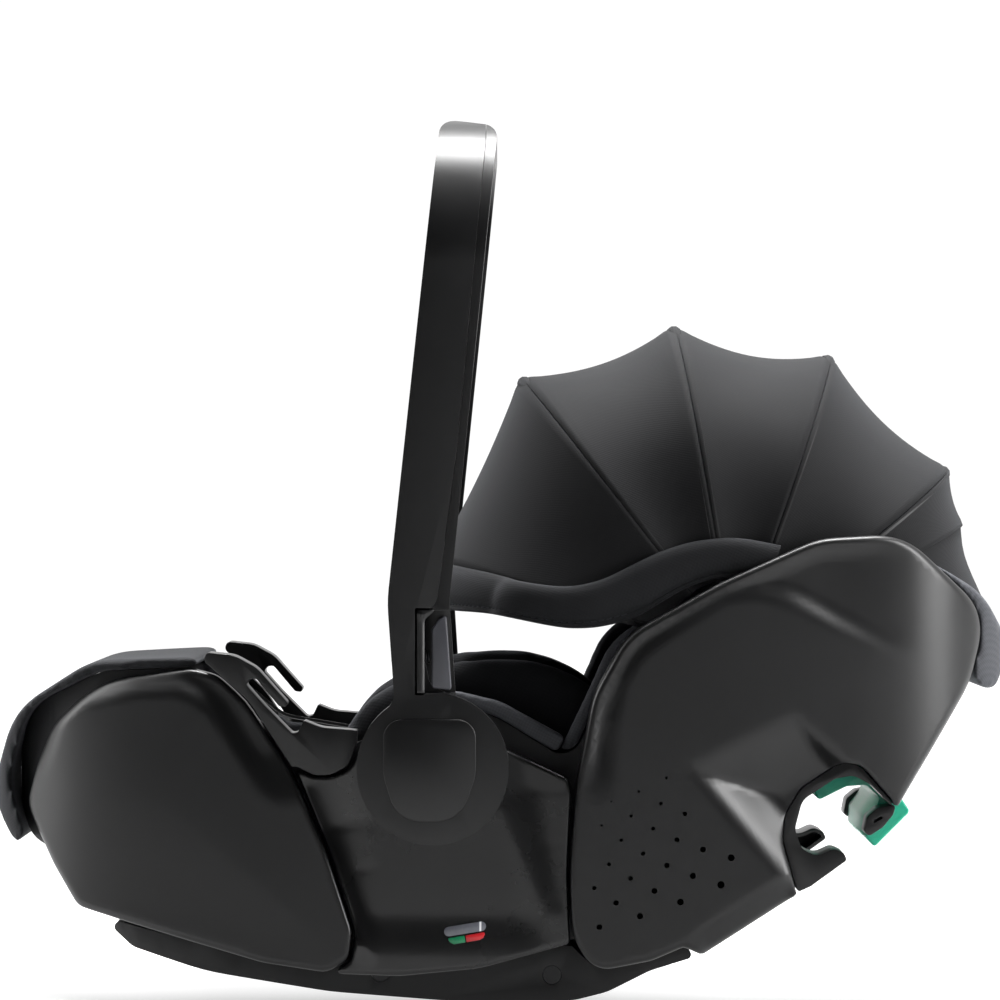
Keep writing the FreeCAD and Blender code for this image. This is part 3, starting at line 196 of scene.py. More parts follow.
class Finish:
    """A material under construction."""

    def __init__(self, name):
        self.material = bpy.data.materials.new(name)
        self.material.use_nodes = True
        self.tree = self.material.node_tree
        self.tree.nodes.clear()
        self.output = self.tree.nodes.new("ShaderNodeOutputMaterial")

    def node(self, kind, options=None, *values, out=0, **named):
        made = self.tree.nodes.new(kind)
        for key, value in (options or {}).items():
            if key == "stops":
                ramp = made.color_ramp
                while len(ramp.elements) < len(value):
                    ramp.elements.new(0.5)
                for element, (place, colour) in zip(ramp.elements, value):
                    element.position, element.color = place, (*colour, 1.0)
            else:
                setattr(made, key, value)
        for index, value in enumerate(values):
            self._feed(made.inputs[index], value)
        for key, value in named.items():
            self._feed(made.inputs[key.replace("_", " ")], value)
        return Sock(self, made.outputs[out])

    def _feed(self, socket, value):
        if isinstance(value, Sock):
            self.tree.links.new(value.socket, socket)
        elif value is not None:
            socket.default_value = value

    def place(self):
        return self.node("ShaderNodeTexCoord", out=3)

    def noise(self, scale, detail=3.0, rough=0.5, where=None):
        where = where or self.place()
        return self.node("ShaderNodeTexNoise", {}, Vector=where, Scale=scale, Detail=detail, Roughness=rough)

    def split(self, vector):
        made = self.node("ShaderNodeSeparateXYZ", {}, vector)
        return [Sock(self, out) for out in made.socket.node.outputs]

    def mix(self, factor, first, second):
        made = self.node("ShaderNodeMix", {"data_type": "RGBA"}, out=2)
        node = made.socket.node
        self._feed(node.inputs[0], factor)
        for socket, value in ((node.inputs[6], first), (node.inputs[7], second)):
            self._feed(socket, value if isinstance(value, Sock) else (*value, 1.0))
        return made

    def bump(self, height, strength, distance, onto=None):
        return self.node("ShaderNodeBump", {}, Height=height, Strength=strength, Distance=distance, Normal=onto)

    def surface(self, **sockets):
        shader = self.node("ShaderNodeBsdfPrincipled", {}, **{k: v for k, v in sockets.items() if v is not None})
        self.tree.links.new(shader.socket, self.output.inputs["Surface"])
        return self.material


def colour4(colour):
    return (*colour, 1.0)


def shaded(colour, factor):
    return tuple(c * factor for c in colour)


_finishes = {}


def finish(name):
    """The material of that name, made once."""
    if name not in _finishes:
        _finishes[name] = FINISHES[name]()
    return _finishes[name]


def moulded(name, colour, rough, grain, grain_scale=1100.0, coat=0.0):
    """Moulded plastic with a fine spark-eroded grain and faint sheen changes."""
    f = Finish(name)
    cloud = f.noise(9.0, 4.0)
    handling = f.noise(60.0, 3.0, 0.6)
    tint = f.mix((cloud * 0.6 + handling * 0.4).smooth(0.3, 0.75), shaded(colour, 0.88), shaded(colour, 1.18))
    roughness = rough + (cloud - 0.5) * 0.10 + (handling - 0.5) * 0.05
    texture = f.noise(grain_scale, 2.0, 0.65)
    normal = f.bump(texture, grain, 0.0002) if grain else None
    return f.surface(
        Base_Color=tint, Roughness=roughness, Normal=normal, Coat_Weight=coat, Coat_Roughness=0.12,
        Specular_IOR_Level=0.42,
    )


def cloth(name, colour, thread=1500.0, fuzz=0.5, strength=0.35, rough=0.86):
    """Woven or knitted cloth: crossed threads, soft mottling and a light fuzz."""
    f = Finish(name)
    x, y, z = f.split(f.place())
    slub = f.noise(220.0, 3.0, 0.7)
    warp = ((x + z * 0.35) * thread * 2.0 + slub * 2.2).sin()
    weft = ((z - x * 0.35 + y) * thread * 2.0 + slub * 2.2).sin()
    weave = (warp * weft) * 0.5 + 0.5
    mottle = f.noise(26.0, 4.0, 0.6)
    tint = f.mix(weave * 0.45 + mottle * 0.55, shaded(colour, 0.72), shaded(colour, 1.30))
    roughness = rough + (mottle - 0.5) * 0.12
    normal = f.bump(weave + slub * 0.6, strength, 0.00025)
    return f.surface(
        Base_Color=tint, Roughness=roughness, Normal=normal, Sheen_Weight=fuzz, Sheen_Roughness=0.45,
        Sheen_Tint=colour4((0.6, 0.62, 0.68)), Specular_IOR_Level=0.16,
    )


def steel(name):
    """Brushed steel."""
    f = Finish(name)
    brushed = f.node("ShaderNodeMapping", {}, Vector=f.place(), Scale=(1200.0, 20.0, 1200.0))
    lines = f.noise(1.0, 2.0, 0.5, where=brushed)
    return f.surface(
        Base_Color=f.mix(lines, (0.42, 0.42, 0.43), (0.62, 0.62, 0.63)), Roughness=0.28 + lines * 0.2, Metallic=1.0
    )


def webbing(name, colour):
    """Harness webbing: ribs along the strap and a close cross weave."""
    f = Finish(name)
    x, y, z = f.split(f.place())
    ribs = (y * 4200.0).sin() * 0.5 + 0.5
    cross = ((x + z) * 3000.0).sin() * 0.5 + 0.5
    mottle = f.noise(80.0, 3.0)
    return f.surface(
        Base_Color=f.mix(ribs * cross, shaded(colour, 0.7), shaded(colour, 1.4)), Roughness=0.7 + mottle * 0.15,
        Normal=f.bump(ribs * 0.7 + cross * 0.3, 0.5, 0.0003), Sheen_Weight=0.15,
    )


def pill_finish(name):
    """Grey status window with a bright bar across it."""
    f = Finish(name)
    x, y, z = f.split(f.place())
    along = x * 1000.0 + 23.0
    bar = (along - 10.3).absolute().smooth(0.9, 0.35)
    cloud = f.noise(300.0, 2.0)
    body = f.mix(cloud, (0.085, 0.09, 0.11), (0.13, 0.135, 0.155))
    return f.surface(Base_Color=f.mix(bar, body, (0.75, 0.76, 0.78)), Roughness=0.3 + cloud * 0.1, Coat_Weight=0.4)


FINISHES = {
    "cover_plastic": lambda: moulded("cover_plastic", settings("seat_shells").colour, 0.36, 0.10),
    "glossy_plastic": lambda: moulded("glossy_plastic", settings("seat_shells").gloss_colour, 0.27, 0.05, coat=0.2),
    "handle_plastic": lambda: moulded("handle_plastic", shaded(settings("seat_shells").gloss_colour, 1.25), 0.33, 0.08),
    "base_plastic": lambda: moulded("base_plastic", (0.006, 0.006, 0.0065), 0.5, 0.22, 800.0),
    "hidden_plastic": lambda: moulded("hidden_plastic", (0.014, 0.014, 0.015), 0.6, 0.2, 700.0),
    "grey_plastic": lambda: moulded("grey_plastic", (0.052, 0.053, 0.062), 0.35, 0.1),
    "foam": lambda: moulded("foam", (0.018, 0.018, 0.018), 0.85, 0.8, 420.0),
    "green_plastic": lambda: moulded("green_plastic", settings("seat_padding").belt_green, 0.33, 0.08),
    "red_plastic": lambda: moulded("red_plastic", (0.42, 0.008, 0.012), 0.3, 0.06, coat=0.3),
    "flag_green": lambda: moulded("flag_green", (0.005, 0.19, 0.075), 0.35, 0.05, coat=0.3),
    "flag_red": lambda: moulded("flag_red", (0.55, 0.012, 0.018), 0.35, 0.05, coat=0.3),
    "pill": lambda: pill_finish("pill"),
    "canopy_cloth": lambda: cloth("canopy_cloth", settings("seat_canopy").colour, 1250.0, 0.06, 0.22, 0.8),
    "band_cloth": lambda: cloth("band_cloth", settings("seat_canopy").band_colour, 1100.0, 0.12, 0.3, 0.82),
    "rim_cloth": lambda: cloth("rim_cloth", shaded(settings("seat_canopy").band_colour, 1.5), 1100.0, 0.10, 0.35, 0.85),
    # painted light: a copy of the rim cloth six times lighter than the band, to make up for the shade the head and side
    # rims lie in
    "head_rim_cloth": lambda: cloth(
        "head_rim_cloth", shaded(settings("seat_canopy").band_colour, 6.0), 1100.0, 0.14, 0.35, 0.85
    ),
    "liner_cloth": lambda: cloth("liner_cloth", settings("seat_padding").liner_colour, 900.0, 0.15, 0.45, 0.9),
    "insert_cloth": lambda: cloth("insert_cloth", (0.0075, 0.0078, 0.009), 850.0, 0.15, 0.4, 0.88),
    "thread": lambda: cloth("thread", (0.02, 0.021, 0.024), 3000.0, 0.3, 0.5, 0.8),
    "webbing": lambda: webbing("webbing", (0.014, 0.0145, 0.016)),
    "steel": lambda: steel("steel"),
    "blackened_steel": lambda: moulded("blackened_steel", (0.012, 0.012, 0.013), 0.45, 0.1),
}


# ---------------------------------------------------------------- mesh helpers
def deselect():
    for o in bpy.context.view_layer.objects.selected:
        o.select_set(False)


def solo(obj):
    deselect()
    obj.select_set(True)
    bpy.context.view_layer.objects.active = obj


def mesh_piece(name, points, faces, finish_name, smooth=True):
    """An object from points in millimetres."""
    data = bpy.data.meshes.new(name)
    data.from_pydata([tuple(c * MM for c in p) for p in points], [], faces)
    data.validate()
    obj = bpy.data.objects.new(name, data)
    bpy.context.scene.collection.objects.link(obj)
    data.materials.append(finish(finish_name))
    if smooth:
        data.shade_smooth()
    return obj


def apply_modifier(obj, kind, **options):
    modifier = obj.modifiers.new(kind.lower(), kind)
    for key, value in options.items():
        setattr(modifier, key, value)
    solo(obj)
    bpy.ops.object.modifier_apply(modifier=modifier.name)


def smooth_by_angle(obj, degrees=35.0):
    solo(obj)
    bpy.ops.object.shade_smooth_by_angle(angle=math.radians(degrees))


def weld(obj, distance=0.00002):
    """Merges doubles and turns all faces outwards."""
    work = bmesh.new()
    work.from_mesh(obj.data)
    bmesh.ops.remove_doubles(work, verts=work.verts, dist=distance)
    bmesh.ops.dissolve_degenerate(work, dist=distance, edges=work.edges)
    bmesh.ops.recalc_face_normals(work, faces=work.faces)
    work.to_mesh(obj.data)
    work.free()


def mirror_copy(obj, name):
    """The same piece on the other side of the middle plane."""
    twin = obj.copy()
    twin.data = obj.data.copy()
    twin.name = name
    bpy.context.scene.collection.objects.link(twin)
    twin.data.transform(Matrix.Scale(-1, 4, (0, 1, 0)))
    twin.data.flip_normals()
    return twin


def cad_copy(node, name, finish_name, bevel=0.0, segments=3, angle=30.0, body="seat", slot=None):
    """A welded copy of a CAD node with rounded edges, standing for it."""
    source = frame["nodes"][node]
    obj = bpy.data.objects.new(name, source.data.copy())
    bpy.context.scene.collection.objects.link(obj)
    work = bmesh.new()
    work.from_mesh(obj.data)
    bmesh.ops.remove_doubles(work, verts=work.verts, dist=0.000005)
    bmesh.ops.dissolve_limit(work, angle_limit=math.radians(1.0), verts=work.verts, edges=work.edges)
    work.to_mesh(obj.data)
    work.free()
    obj.data.materials.clear()
    obj.data.materials.append(finish(finish_name))
    if bevel:
        apply_modifier(
            obj, "BEVEL", width=bevel, segments=segments, limit_method="ANGLE", angle_limit=math.radians(angle),
            use_clamp_overlap=True, harden_normals=False,
        )
    smooth_by_angle(obj, 40.0)
    return stand_for(obj, node, body, slot)


def stand_for(obj, node, body="seat", slot=None):
    """The piece rides on its body and stands for its CAD node or nodes; their material slot is looked up but not given
    to it.
    """
    nodes = (node,) if isinstance(node, str) else tuple(node)
    if body:
        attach(obj, body)
    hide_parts(*nodes)
    if slot is None:
        slot = next(s["material_slot"] for s in frame["record"]["subparts"] if s["node"] == nodes[0])
    return obj


def paint(node, finish_name):
    """Gives a CAD node a better material."""
    for slot in frame["nodes"][node].material_slots:
        slot.material = finish(finish_name)


# ---------------------------------------------------------------- outlines
def fillet(corners, spacing=3.0):
    """Closed outline through (x, z, corner radius), as evenly spaced points with round corners."""
    count = len(corners)
    spots = [Vector((c[0], c[1])) for c in corners]
    path = []
    for i, corner in enumerate(corners):
        here, before, after = spots[i], spots[i - 1] - spots[i], spots[(i + 1) % count] - spots[i]
        radius = corner[2] if len(corner) > 2 else 0.0
        turn = math.pi - before.angle(after)
        back = min(radius * math.tan(turn / 2), 0.49 * min(before.length, after.length))
        if back < 0.01:
            path.append(here)
            continue
        start, end = here + before.normalized() * back, here + after.normalized() * back
        steps = max(2, int(math.degrees(turn) / 6))
        for k in range(steps + 1):
            t = k / steps
            path.append(start * (1 - t) ** 2 + here * 2 * t * (1 - t) + end * t**2)
    return resample(path, spacing, closed=True)


def resample(path, spacing, closed=False):
    """The path's points at an even spacing, keeping sharp corners nearly in place."""
    points = [Vector(p) for p in path] + ([Vector(path[0])] if closed else [])
    lengths = [0.0]
    for a, b in zip(points, points[1:]):
        lengths.append(lengths[-1] + (b - a).length)
    count = max(8, int(round(lengths[-1] / spacing)))
    places = np.linspace(0, lengths[-1], count + (0 if closed else 1), endpoint=not closed)
    grid = np.array([tuple(p) for p in points])
    return [Vector(tuple(np.interp(s, lengths, grid[:, k]) for k in range(grid.shape[1]))) for s in places]


def segment_distance(spots, outline, closed=True):
    """Distance of each spot (n, 2) from an outline."""
    ends = np.array([tuple(p) for p in outline])
    a = ends if closed else ends[:-1]
    b = np.roll(ends, -1, 0) if closed else ends[1:]
    best = np.full(len(spots), 1e9)
    for p, q in zip(a, b):
        d = q - p
        t = np.clip(((spots - p) @ d) / max(d @ d, 1e-9), 0, 1)
        best = np.minimum(best, np.linalg.norm(spots - p - t[:, None] * d, axis=1))
    return best


def inside(spots, outline):
    """Which spots lie inside a closed outline."""
    ends = np.array([tuple(p) for p in outline])
    result = np.zeros(len(spots), bool)
    for (x1, z1), (x2, z2) in zip(ends, np.roll(ends, -1, 0)):
        crosses = (z1 > spots[:, 1]) != (z2 > spots[:, 1])
        with np.errstate(divide="ignore", invalid="ignore"):
            at = (x2 - x1) * (spots[:, 1] - z1) / (z2 - z1) + x1
        result ^= crosses & (spots[:, 0] < at)
    return result


def signed(spots, outline):
    """Distance inside an outline, negative outside."""
    return np.where(inside(spots, outline), 1, -1) * segment_distance(spots, outline)


def ease(value, low, high):
    t = np.clip((value - low) / (high - low), 0, 1)
    return t * t * (3 - 2 * t)


def plan_half(x, half_width, reach, head=4.0, foot=2.6):
    """Half width of the plan outline at x."""
    share = np.clip(np.abs(x) / reach, 0, 0.9999)
    power = np.where(np.asarray(x) >= 0, head, foot)
    return half_width * (1 - share**power) ** (1 / power)


def skin_mesh(outline, depth_at, spacing, holes=(), rings=4, edge=13.0):
    """Points (x, y, z) and triangles of a left side skin whose face is at y = -depth_at(x, z)."""
    ends = [tuple(p) for p in outline]
    spots, edges = list(ends), [(i, (i + 1) % len(ends)) for i in range(len(ends))]
    hole_faces = []
    for hole in holes:
        first = len(spots)
        spots += [tuple(p) for p in hole]
        edges += [(first + i, first + (i + 1) % len(hole)) for i in range(len(hole))]
        hole_faces.append(np.array([tuple(p) for p in hole]))
    grid_ends = np.array(ends)
    low, high = grid_ends.min(0), grid_ends.max(0)
    xs = np.arange(low[0] + spacing / 2, high[0], spacing)
    zs = np.arange(low[1] + spacing / 2, high[1], spacing)
    inner = np.array([(x + (spacing / 2 if k % 2 else 0), z) for k, z in enumerate(zs) for x in xs])
    room = signed(inner, outline)
    keep = room > edge * 0.95
    for hole in holes:
        across = (Vector(hole[0]) - Vector(hole[len(hole) // 2])).length
        away = np.linalg.norm(inner - np.mean([tuple(p) for p in hole], axis=0), axis=1)
        keep &= away > across / 2 + spacing * 0.35
    # rows that follow the edge, close together where the roll is tight
    normals = outline_normals(ends)
    for k in range(1, rings + 1):
        back = edge * (1 - math.cos(math.pi / 2 * k / rings)) * 0.98
        row = grid_ends - normals * back
        fine = signed(row, outline)
        good = fine > back * 0.86
        spots += [tuple(p) for p in row[good]]
    spots += [tuple(p) for p in inner[keep]]
    found, _, faces, _, _, _ = delaunay_2d_cdt([Vector(p) for p in spots], edges, [], 1, 1e-4)
    flat = np.array([tuple(p) for p in found])
    centres = np.array([flat[list(f)].mean(0) for f in faces])
    wanted = inside(centres, outline)
    for hole in hole_faces:
        wanted &= ~inside(centres, hole)
    y = -depth_at(flat)
    points = np.column_stack([flat[:, 0], y, flat[:, 1]])
    kept = [tuple(f) for f, w in zip(faces, wanted) if w]
    fixed = []
    for f in kept:
        a, b, c = (flat[i] for i in f[:3])
        area = (b[0] - a[0]) * (c[1] - a[1]) - (b[1] - a[1]) * (c[0] - a[0])
        fixed.append(f if area > 0 else f[::-1])
    return points, fixed


def outline_normals(ends):
    """Outward unit normals at each point of a closed outline."""
    grid = np.array([tuple(p) for p in ends])
    along = np.roll(grid, -1, 0) - np.roll(grid, 1, 0)
    area = np.sum(grid[:, 0] * np.roll(grid[:, 1], -1) - np.roll(grid[:, 0], -1) * grid[:, 1])
    normal = np.column_stack([along[:, 1], -along[:, 0]]) * (1 if area > 0 else -1)
    return normal / np.maximum(np.linalg.norm(normal, axis=1), 1e-9)[:, None]


# ---------------------------------------------------------------- shapes of this seat, seen from its side, in mm
HEAD_OUTLINE = [
    (47, 42, 60), (45, 85, 200), (49, 140, 120), (60, 200, 60), (82, 240, 50), (143, 274, 120),
    (206, 302, 60), (262, 305, 50), (320, 252, 40), (308, 208, 60), (257.3, 126.1, 3), (254, 133, 2),
    (234, 155.5, 14), (221, 157, 16), (195, 140, 16), (184.5, 122, 20), (183, 106, 20), (192.5, 71, 2),
    (131, 32, 4), (119, 38, 4), (98, 29, 20), (62, 22, 20),
]
FOOT_OUTLINE = [
    (-313, 126, 20), (-306, 152, 60), (-294, 180, 50), (-262, 208, 60), (-200, 217, 20), (-184, 213, 20),
    (-165, 196, 60), (-136, 152, 90), (-113, 100, 120), (-96, 48, 20), (-98, 30, 10), (-112, 21, 15),
    (-155, 27.5, 0), (-277, 61, 12), (-294, 88, 60),
]
MIDDLE_OUTLINE = [
    (-109, 20.4, 4), (-65, 19, 60), (-13, 24, 80), (45.5, 40, 4), (43.5, 85, 100), (46, 138, 10),
    (44, 147, 4), (3, 166, 20), (-30, 186, 20), (-64, 184, 20), (-90, 168, 4), (-97, 152.5, 14),
    (-110, 147.5, 14), (-121, 147.5, 8), (-133, 152, 2), (-111.4, 100, 90), (-94.4, 48, 20), (-96.2, 29, 8),
]
HEAD_PLATEAU = [
    (72, 150, 20), (72, 182, 30), (78, 211, 30), (90, 231, 25), (116, 249, 40), (144, 266, 25), (166, 269, 25),
    (187, 265, 40), (216, 249, 60), (262, 226, 80), (400, 200, 0), (400, -60, 0), (72, -60, 0),
]
FOOT_PLATEAU = [
    (-312, 118, 20), (-300, 150, 30), (-289, 180, 22), (-274, 193, 20), (-242, 201, 60), (-210, 203.5, 14),
    (-197, 198, 16), (-184, 186, 30), (-166, 158, 60), (-140, 110, 60), (-60, -40, 0), (-420, -60, 0), (-420, 60, 0),
]
RECESS_EDGES = {"upper": [(122, 154), (181, 184)], "right": [(194, 184), (262, 128)], "lower": [(122, 154), (191, 72)]}
HEAD_BOTTOM = [(128, 30), (196, 73)]


def vent_places():
    """Ventilation holes: (x, z, radius), in columns that lean and close up towards the top."""
    columns = {-2: (5, 7), -1: (2, 7), 0: (0, 7), 1: (0, 5), 2: (0, 3), 3: (0, 2)}
    for column, (first, past) in columns.items():
        for row in range(first, past):
            x = 64.2 + 11.55 * row - 0.72 * row**2 + column * (26.2 - 1.4 * row)
            z = 51.0 + 15.6 * row + 0.08 * row**2 + column * (7.1 + 0.6 * row) + column * (column - 1)
            yield x, z, 2.45 * (1.0 + 0.07 * (column - 3) - 0.06 * row)


def open_path(spots, path, widths, strengths=None):
    """The strength of an open path on it, falling to 0 at the width given for each of its corners."""
    best = np.zeros(len(spots))
    strengths = strengths or [1.0] * len(path)
    for k, ((p, q), (w1, w2)) in enumerate(zip(zip(path, path[1:]), zip(widths, widths[1:]))):
        p, q = np.array(p[:2], float), np.array(q[:2], float)
        d = q - p
        t = np.clip(((spots - p) @ d) / (d @ d), 0, 1)
        away = np.linalg.norm(spots - p - t[:, None] * d, axis=1)
        strength = strengths[k] + (strengths[k + 1] - strengths[k]) * t
        best = np.maximum(best, strength * (1 - ease(away / (w1 + (w2 - w1) * t), 0, 1)))
    return best


def line_side(spots, a, b):
    """Distance to the right of the line from a to b."""
    d = np.array(b, float) - np.array(a, float)
    d /= np.linalg.norm(d)
    rel = spots - np.array(a, float)
    return rel[:, 0] * d[1] - rel[:, 1] * d[0]


def roll(room, radius):
    """How far a rolled edge has dropped at a distance inside the outline."""
    share = np.clip(1 - room / radius, 0, 1)
    return radius * (1 - np.sqrt(np.clip(1 - share**2, 0, 1)))


def cover_roll(spots, outline, radius_at):
    """Drop of the rolled edge, whose radius changes along the outline."""
    ends = np.array([tuple(p) for p in outline])
    room = np.maximum(signed(spots, outline), 0)
    near = np.array([np.argmin(((ends - s) ** 2).sum(1)) for s in spots])
    radii = np.array([radius_at(*p) for p in ends])
    for _ in range(12):
        radii = (np.roll(radii, 1) + radii + np.roll(radii, -1)) / 3
    return roll(room, radii[near])


def head_face(spots, outline):
    """Distance of the head end cover's face from the middle plane."""
    x, z = spots[:, 0], spots[:, 1]
    s = settings("seat_shells")
    room = signed(spots, outline)

    def radius_at(px, pz):
        if px < 66 and pz < 160:
            return 3.0
        return 2.5 if 180 < px < 262 and 68 < pz < 160 else s.edge

    depth = plan_half(x, COVER_HALF, PLAN_REACH) - cover_roll(spots, outline, radius_at)
    raised = signed(spots, fillet(HEAD_PLATEAU, 4))
    fade = ease(z, 130, 185) * (1 - ease(x, 205, 275))
    depth -= s.plateau * 1.25 * fade * (1 - ease(raised, -8, 6)) * ease(room, 3, 12)
    # the scoop round the belt slot
    upper = line_side(spots, *RECESS_EDGES["upper"])
    right = line_side(spots, *RECESS_EDGES["right"])
    lower = line_side(spots, *reversed(RECESS_EDGES["lower"]))
    scoop = np.minimum(np.minimum(ease(upper, -3, 46), ease(right, -1.5, 15)), ease(lower, -3, 34))
    floor = np.minimum(depth, SCOOP_HALF)
    depth = depth - (depth - floor) * scoop
    # chamfer along the underside
    under = np.abs(line_side(spots, *HEAD_BOTTOM))
    chamfer = np.clip(15 - under, 0, 15) * 0.75 * ease(x, 118, 136) * (1 - ease(x, 186, 197)) * (room < 40)
    return depth - chamfer


def foot_face(spots, outline):
    """Distance of the foot end cover's face from the middle plane."""
    x, z = spots[:, 0], spots[:, 1]
    s = settings("seat_shells")
    room = signed(spots, outline)

    def radius_at(px, pz):
        if px > -160 and pz > 24:
            return 2.5
        return 4.0 if pz < 64 and px > -270 else s.edge * 0.7

    depth = plan_half(x, COVER_HALF, PLAN_REACH) - cover_roll(spots, outline, radius_at)
    raised = signed(spots, fillet(FOOT_PLATEAU, 4))
    fade = ease(z, 128, 165)
    depth -= s.plateau * 1.6 * fade * (1 - ease(raised, -11, 3))
    # the face swells a little in its middle
    return depth - 1.5 + 1.5 * ease(room, 10, 90)


def middle_face(spots, outline):
    """Distance of a middle panel's face from the middle plane."""
    x, z = spots[:, 0], spots[:, 1]
    depth = plan_half(x, PANEL_HALF, PLAN_REACH) - cover_roll(spots, outline, lambda px, pz: 2.0)
    hollow_left = open_path(spots, [(-118, 142), (-108, 116), (-99, 88), (-88, 44)], [34, 30, 22, 12], [1, 1, 0.6, 0])
    hollow_right = open_path(spots, [(16, 162), (20, 140), (27, 104), (36, 58)], [30, 26, 18, 10], [1, 1, 0.6, 0])
    depth -= 9.0 * hollow_left + 5.5 * hollow_right
    ridge = open_path(
        spots, [(-122, 120), (-110, 92), (-99, 56), (-90, 38), (-82, 28)], [5, 9, 12, 10, 6], [0, 1, 1, 0.7, 0]
    )
    depth += 4.0 * ridge * ease(signed(spots, outline), 0.5, 6)
    facet = ease(line_side(spots, (14, 150), (38, 45)), -2, 26) * ease(z, 30, 60)
    return depth - 2.0 * facet


def underside(x):
    """Height of the bucket's underside, under which a cover crosses to the other side."""
    return np.interp(x, [-330, -240, -150, -60, 60, 306, 330], [100, 67.4, 49.4, 37.4, 39.4, 213.4, 226])


def moulded_cover(name, corners, face, holes=(), spacing=None, finish_name="cover_plastic", crossing=True):
    """A thin cover: both side faces with rolled edges, joined underneath, or returning to the bucket."""
    s = settings("seat_shells")
    outline = fillet(corners, 3.0)
    if sum(a.x * b.y - b.x * a.y for a, b in zip(outline, outline[1:] + outline[:1])) < 0:
        outline.reverse()
    points, faces = skin_mesh(outline, lambda p: face(p, outline), spacing or s.grid, holes, edge=s.edge)
    ends = np.array([tuple(p) for p in outline])
    start = face(ends, outline)
    rows, cols = len(ends), 10
    base = len(points)
    points = [tuple(p) for p in points]
    cross = crossing & ((ends[:, 1] < underside(ends[:, 0]) + 2) | (np.abs(ends[:, 0]) > 312))
    inner = np.minimum(plan_half(ends[:, 0], BUCKET_HALF, BUCKET_REACH) + 0.8, np.maximum(start - 1.5, 1.0))
    target = np.where(cross, 0.0, inner)
    for k in range(cols + 1):
        t = k / cols
        for i in range(rows):
            points.append((ends[i, 0], -(start[i] + (target[i] - start[i]) * t), ends[i, 1]))
    for k in range(cols):
        for i in range(rows):
            j = (i + 1) % rows
            a, b = base + k * rows + i, base + k * rows + j
            if cross[i] != cross[j]:
                continue
            faces.append((a, a + rows, b + rows, b))
    obj = mesh_piece(name, points, faces, finish_name)
    work = bmesh.new()
    work.from_mesh(obj.data)
    bmesh.ops.remove_doubles(work, verts=work.verts, dist=0.00004)
    loose = [v for v in work.verts if not v.link_faces]
    bmesh.ops.delete(work, geom=loose, context="VERTS")
    work.to_mesh(obj.data)
    work.free()
    return obj


def thick(obj, wall):
    """Gives a skin its wall, towards the inside."""
    apply_modifier(obj, "SOLIDIFY", thickness=wall, offset=-1.0, use_rim=True)
    smooth_by_angle(obj, 46)


def circle_points(x, z, radius, count=12):
    turns = [2 * math.pi * i / count for i in range(count)]
    return [Vector((x + radius * math.cos(turn), z + radius * math.sin(turn))) for turn in turns]


class SEAT_OT_head_cover(bpy.types.Operator):
    """Builds the head end cover with its raised panel, belt scoop and ventilation holes"""

    bl_idname = "car_seat.head_cover"
    bl_label = "Head end cover"

    def execute(self, context):
        holes = [circle_points(*place) for place in vent_places()]
        cover = moulded_cover("head_cover", HEAD_OUTLINE, head_face, holes)
        apply_modifier(cover, "MIRROR", use_axis=(False, True, False), use_mirror_merge=True, merge_threshold=0.0001)
        thick(cover, context.scene.seat_shells.wall)
        stand_for(cover, "head_shell")
        return {"FINISHED"}


class SEAT_OT_foot_cover(bpy.types.Operator):
    """Builds the foot end cover"""

    bl_idname = "car_seat.foot_cover"
    bl_label = "Foot end cover"

    def execute(self, context):
        cover = moulded_cover("foot_cover", FOOT_OUTLINE, foot_face)
        apply_modifier(cover, "MIRROR", use_axis=(False, True, False), use_mirror_merge=True, merge_threshold=0.0001)
        thick(cover, context.scene.seat_shells.wall)
        stand_for(cover, "foot_shell")
        return {"FINISHED"}


class SEAT_OT_middle_panels(bpy.types.Operator):
    """Builds the glossy panels behind the handle's hubs"""

    bl_idname = "car_seat.middle_panels"
    bl_label = "Middle panels"

    def execute(self, context):
        panel = moulded_cover(
            "middle_panel_left", MIDDLE_OUTLINE, middle_face, spacing=3.2, finish_name="glossy_plastic", crossing=False
        )
        thick(panel, context.scene.seat_shells.wall)
        twin = mirror_copy(panel, "middle_panel_right")
        stand_for(panel, "mid_panel_left")
        stand_for(twin, "mid_panel_right")
        return {"FINISHED"}


# ---------------------------------------------------------------- small moulded parts
class SEAT_OT_base(bpy.types.Operator):
    """Rounds the base and the bucket, copies the foam liner and paints the latch bars and screws"""

    bl_idname = "car_seat.base"
    bl_label = "Base"

    def execute(self, context):
        cad_copy("base_shell", "base_tray", "base_plastic", 0.0014)
        cad_copy("bucket_shell", "bucket", "hidden_plastic", 0.0016)
        cad_copy("foam_liner", "foam_layer", "foam", 0.0)
        for node in ("front_latch_bar", "rear_latch_bar"):
            paint(node, "blackened_steel")
        paint("base_screws", "steel")
        return {"FINISHED"}


HOOK_PLATE = [
    (258.6, 128.2, 2), (256.5, 121.5, 3), (249.6, 113.2, 6), (240.8, 107.6, 3), (237.6, 110.2, 3), (239.6, 120.5, 4),
    (246.2, 125.9, 4),
]
HOOK_SLOT = [(244.2, 116.2), (249.8, 119.4), (249.2, 120.9), (243.6, 117.7)]


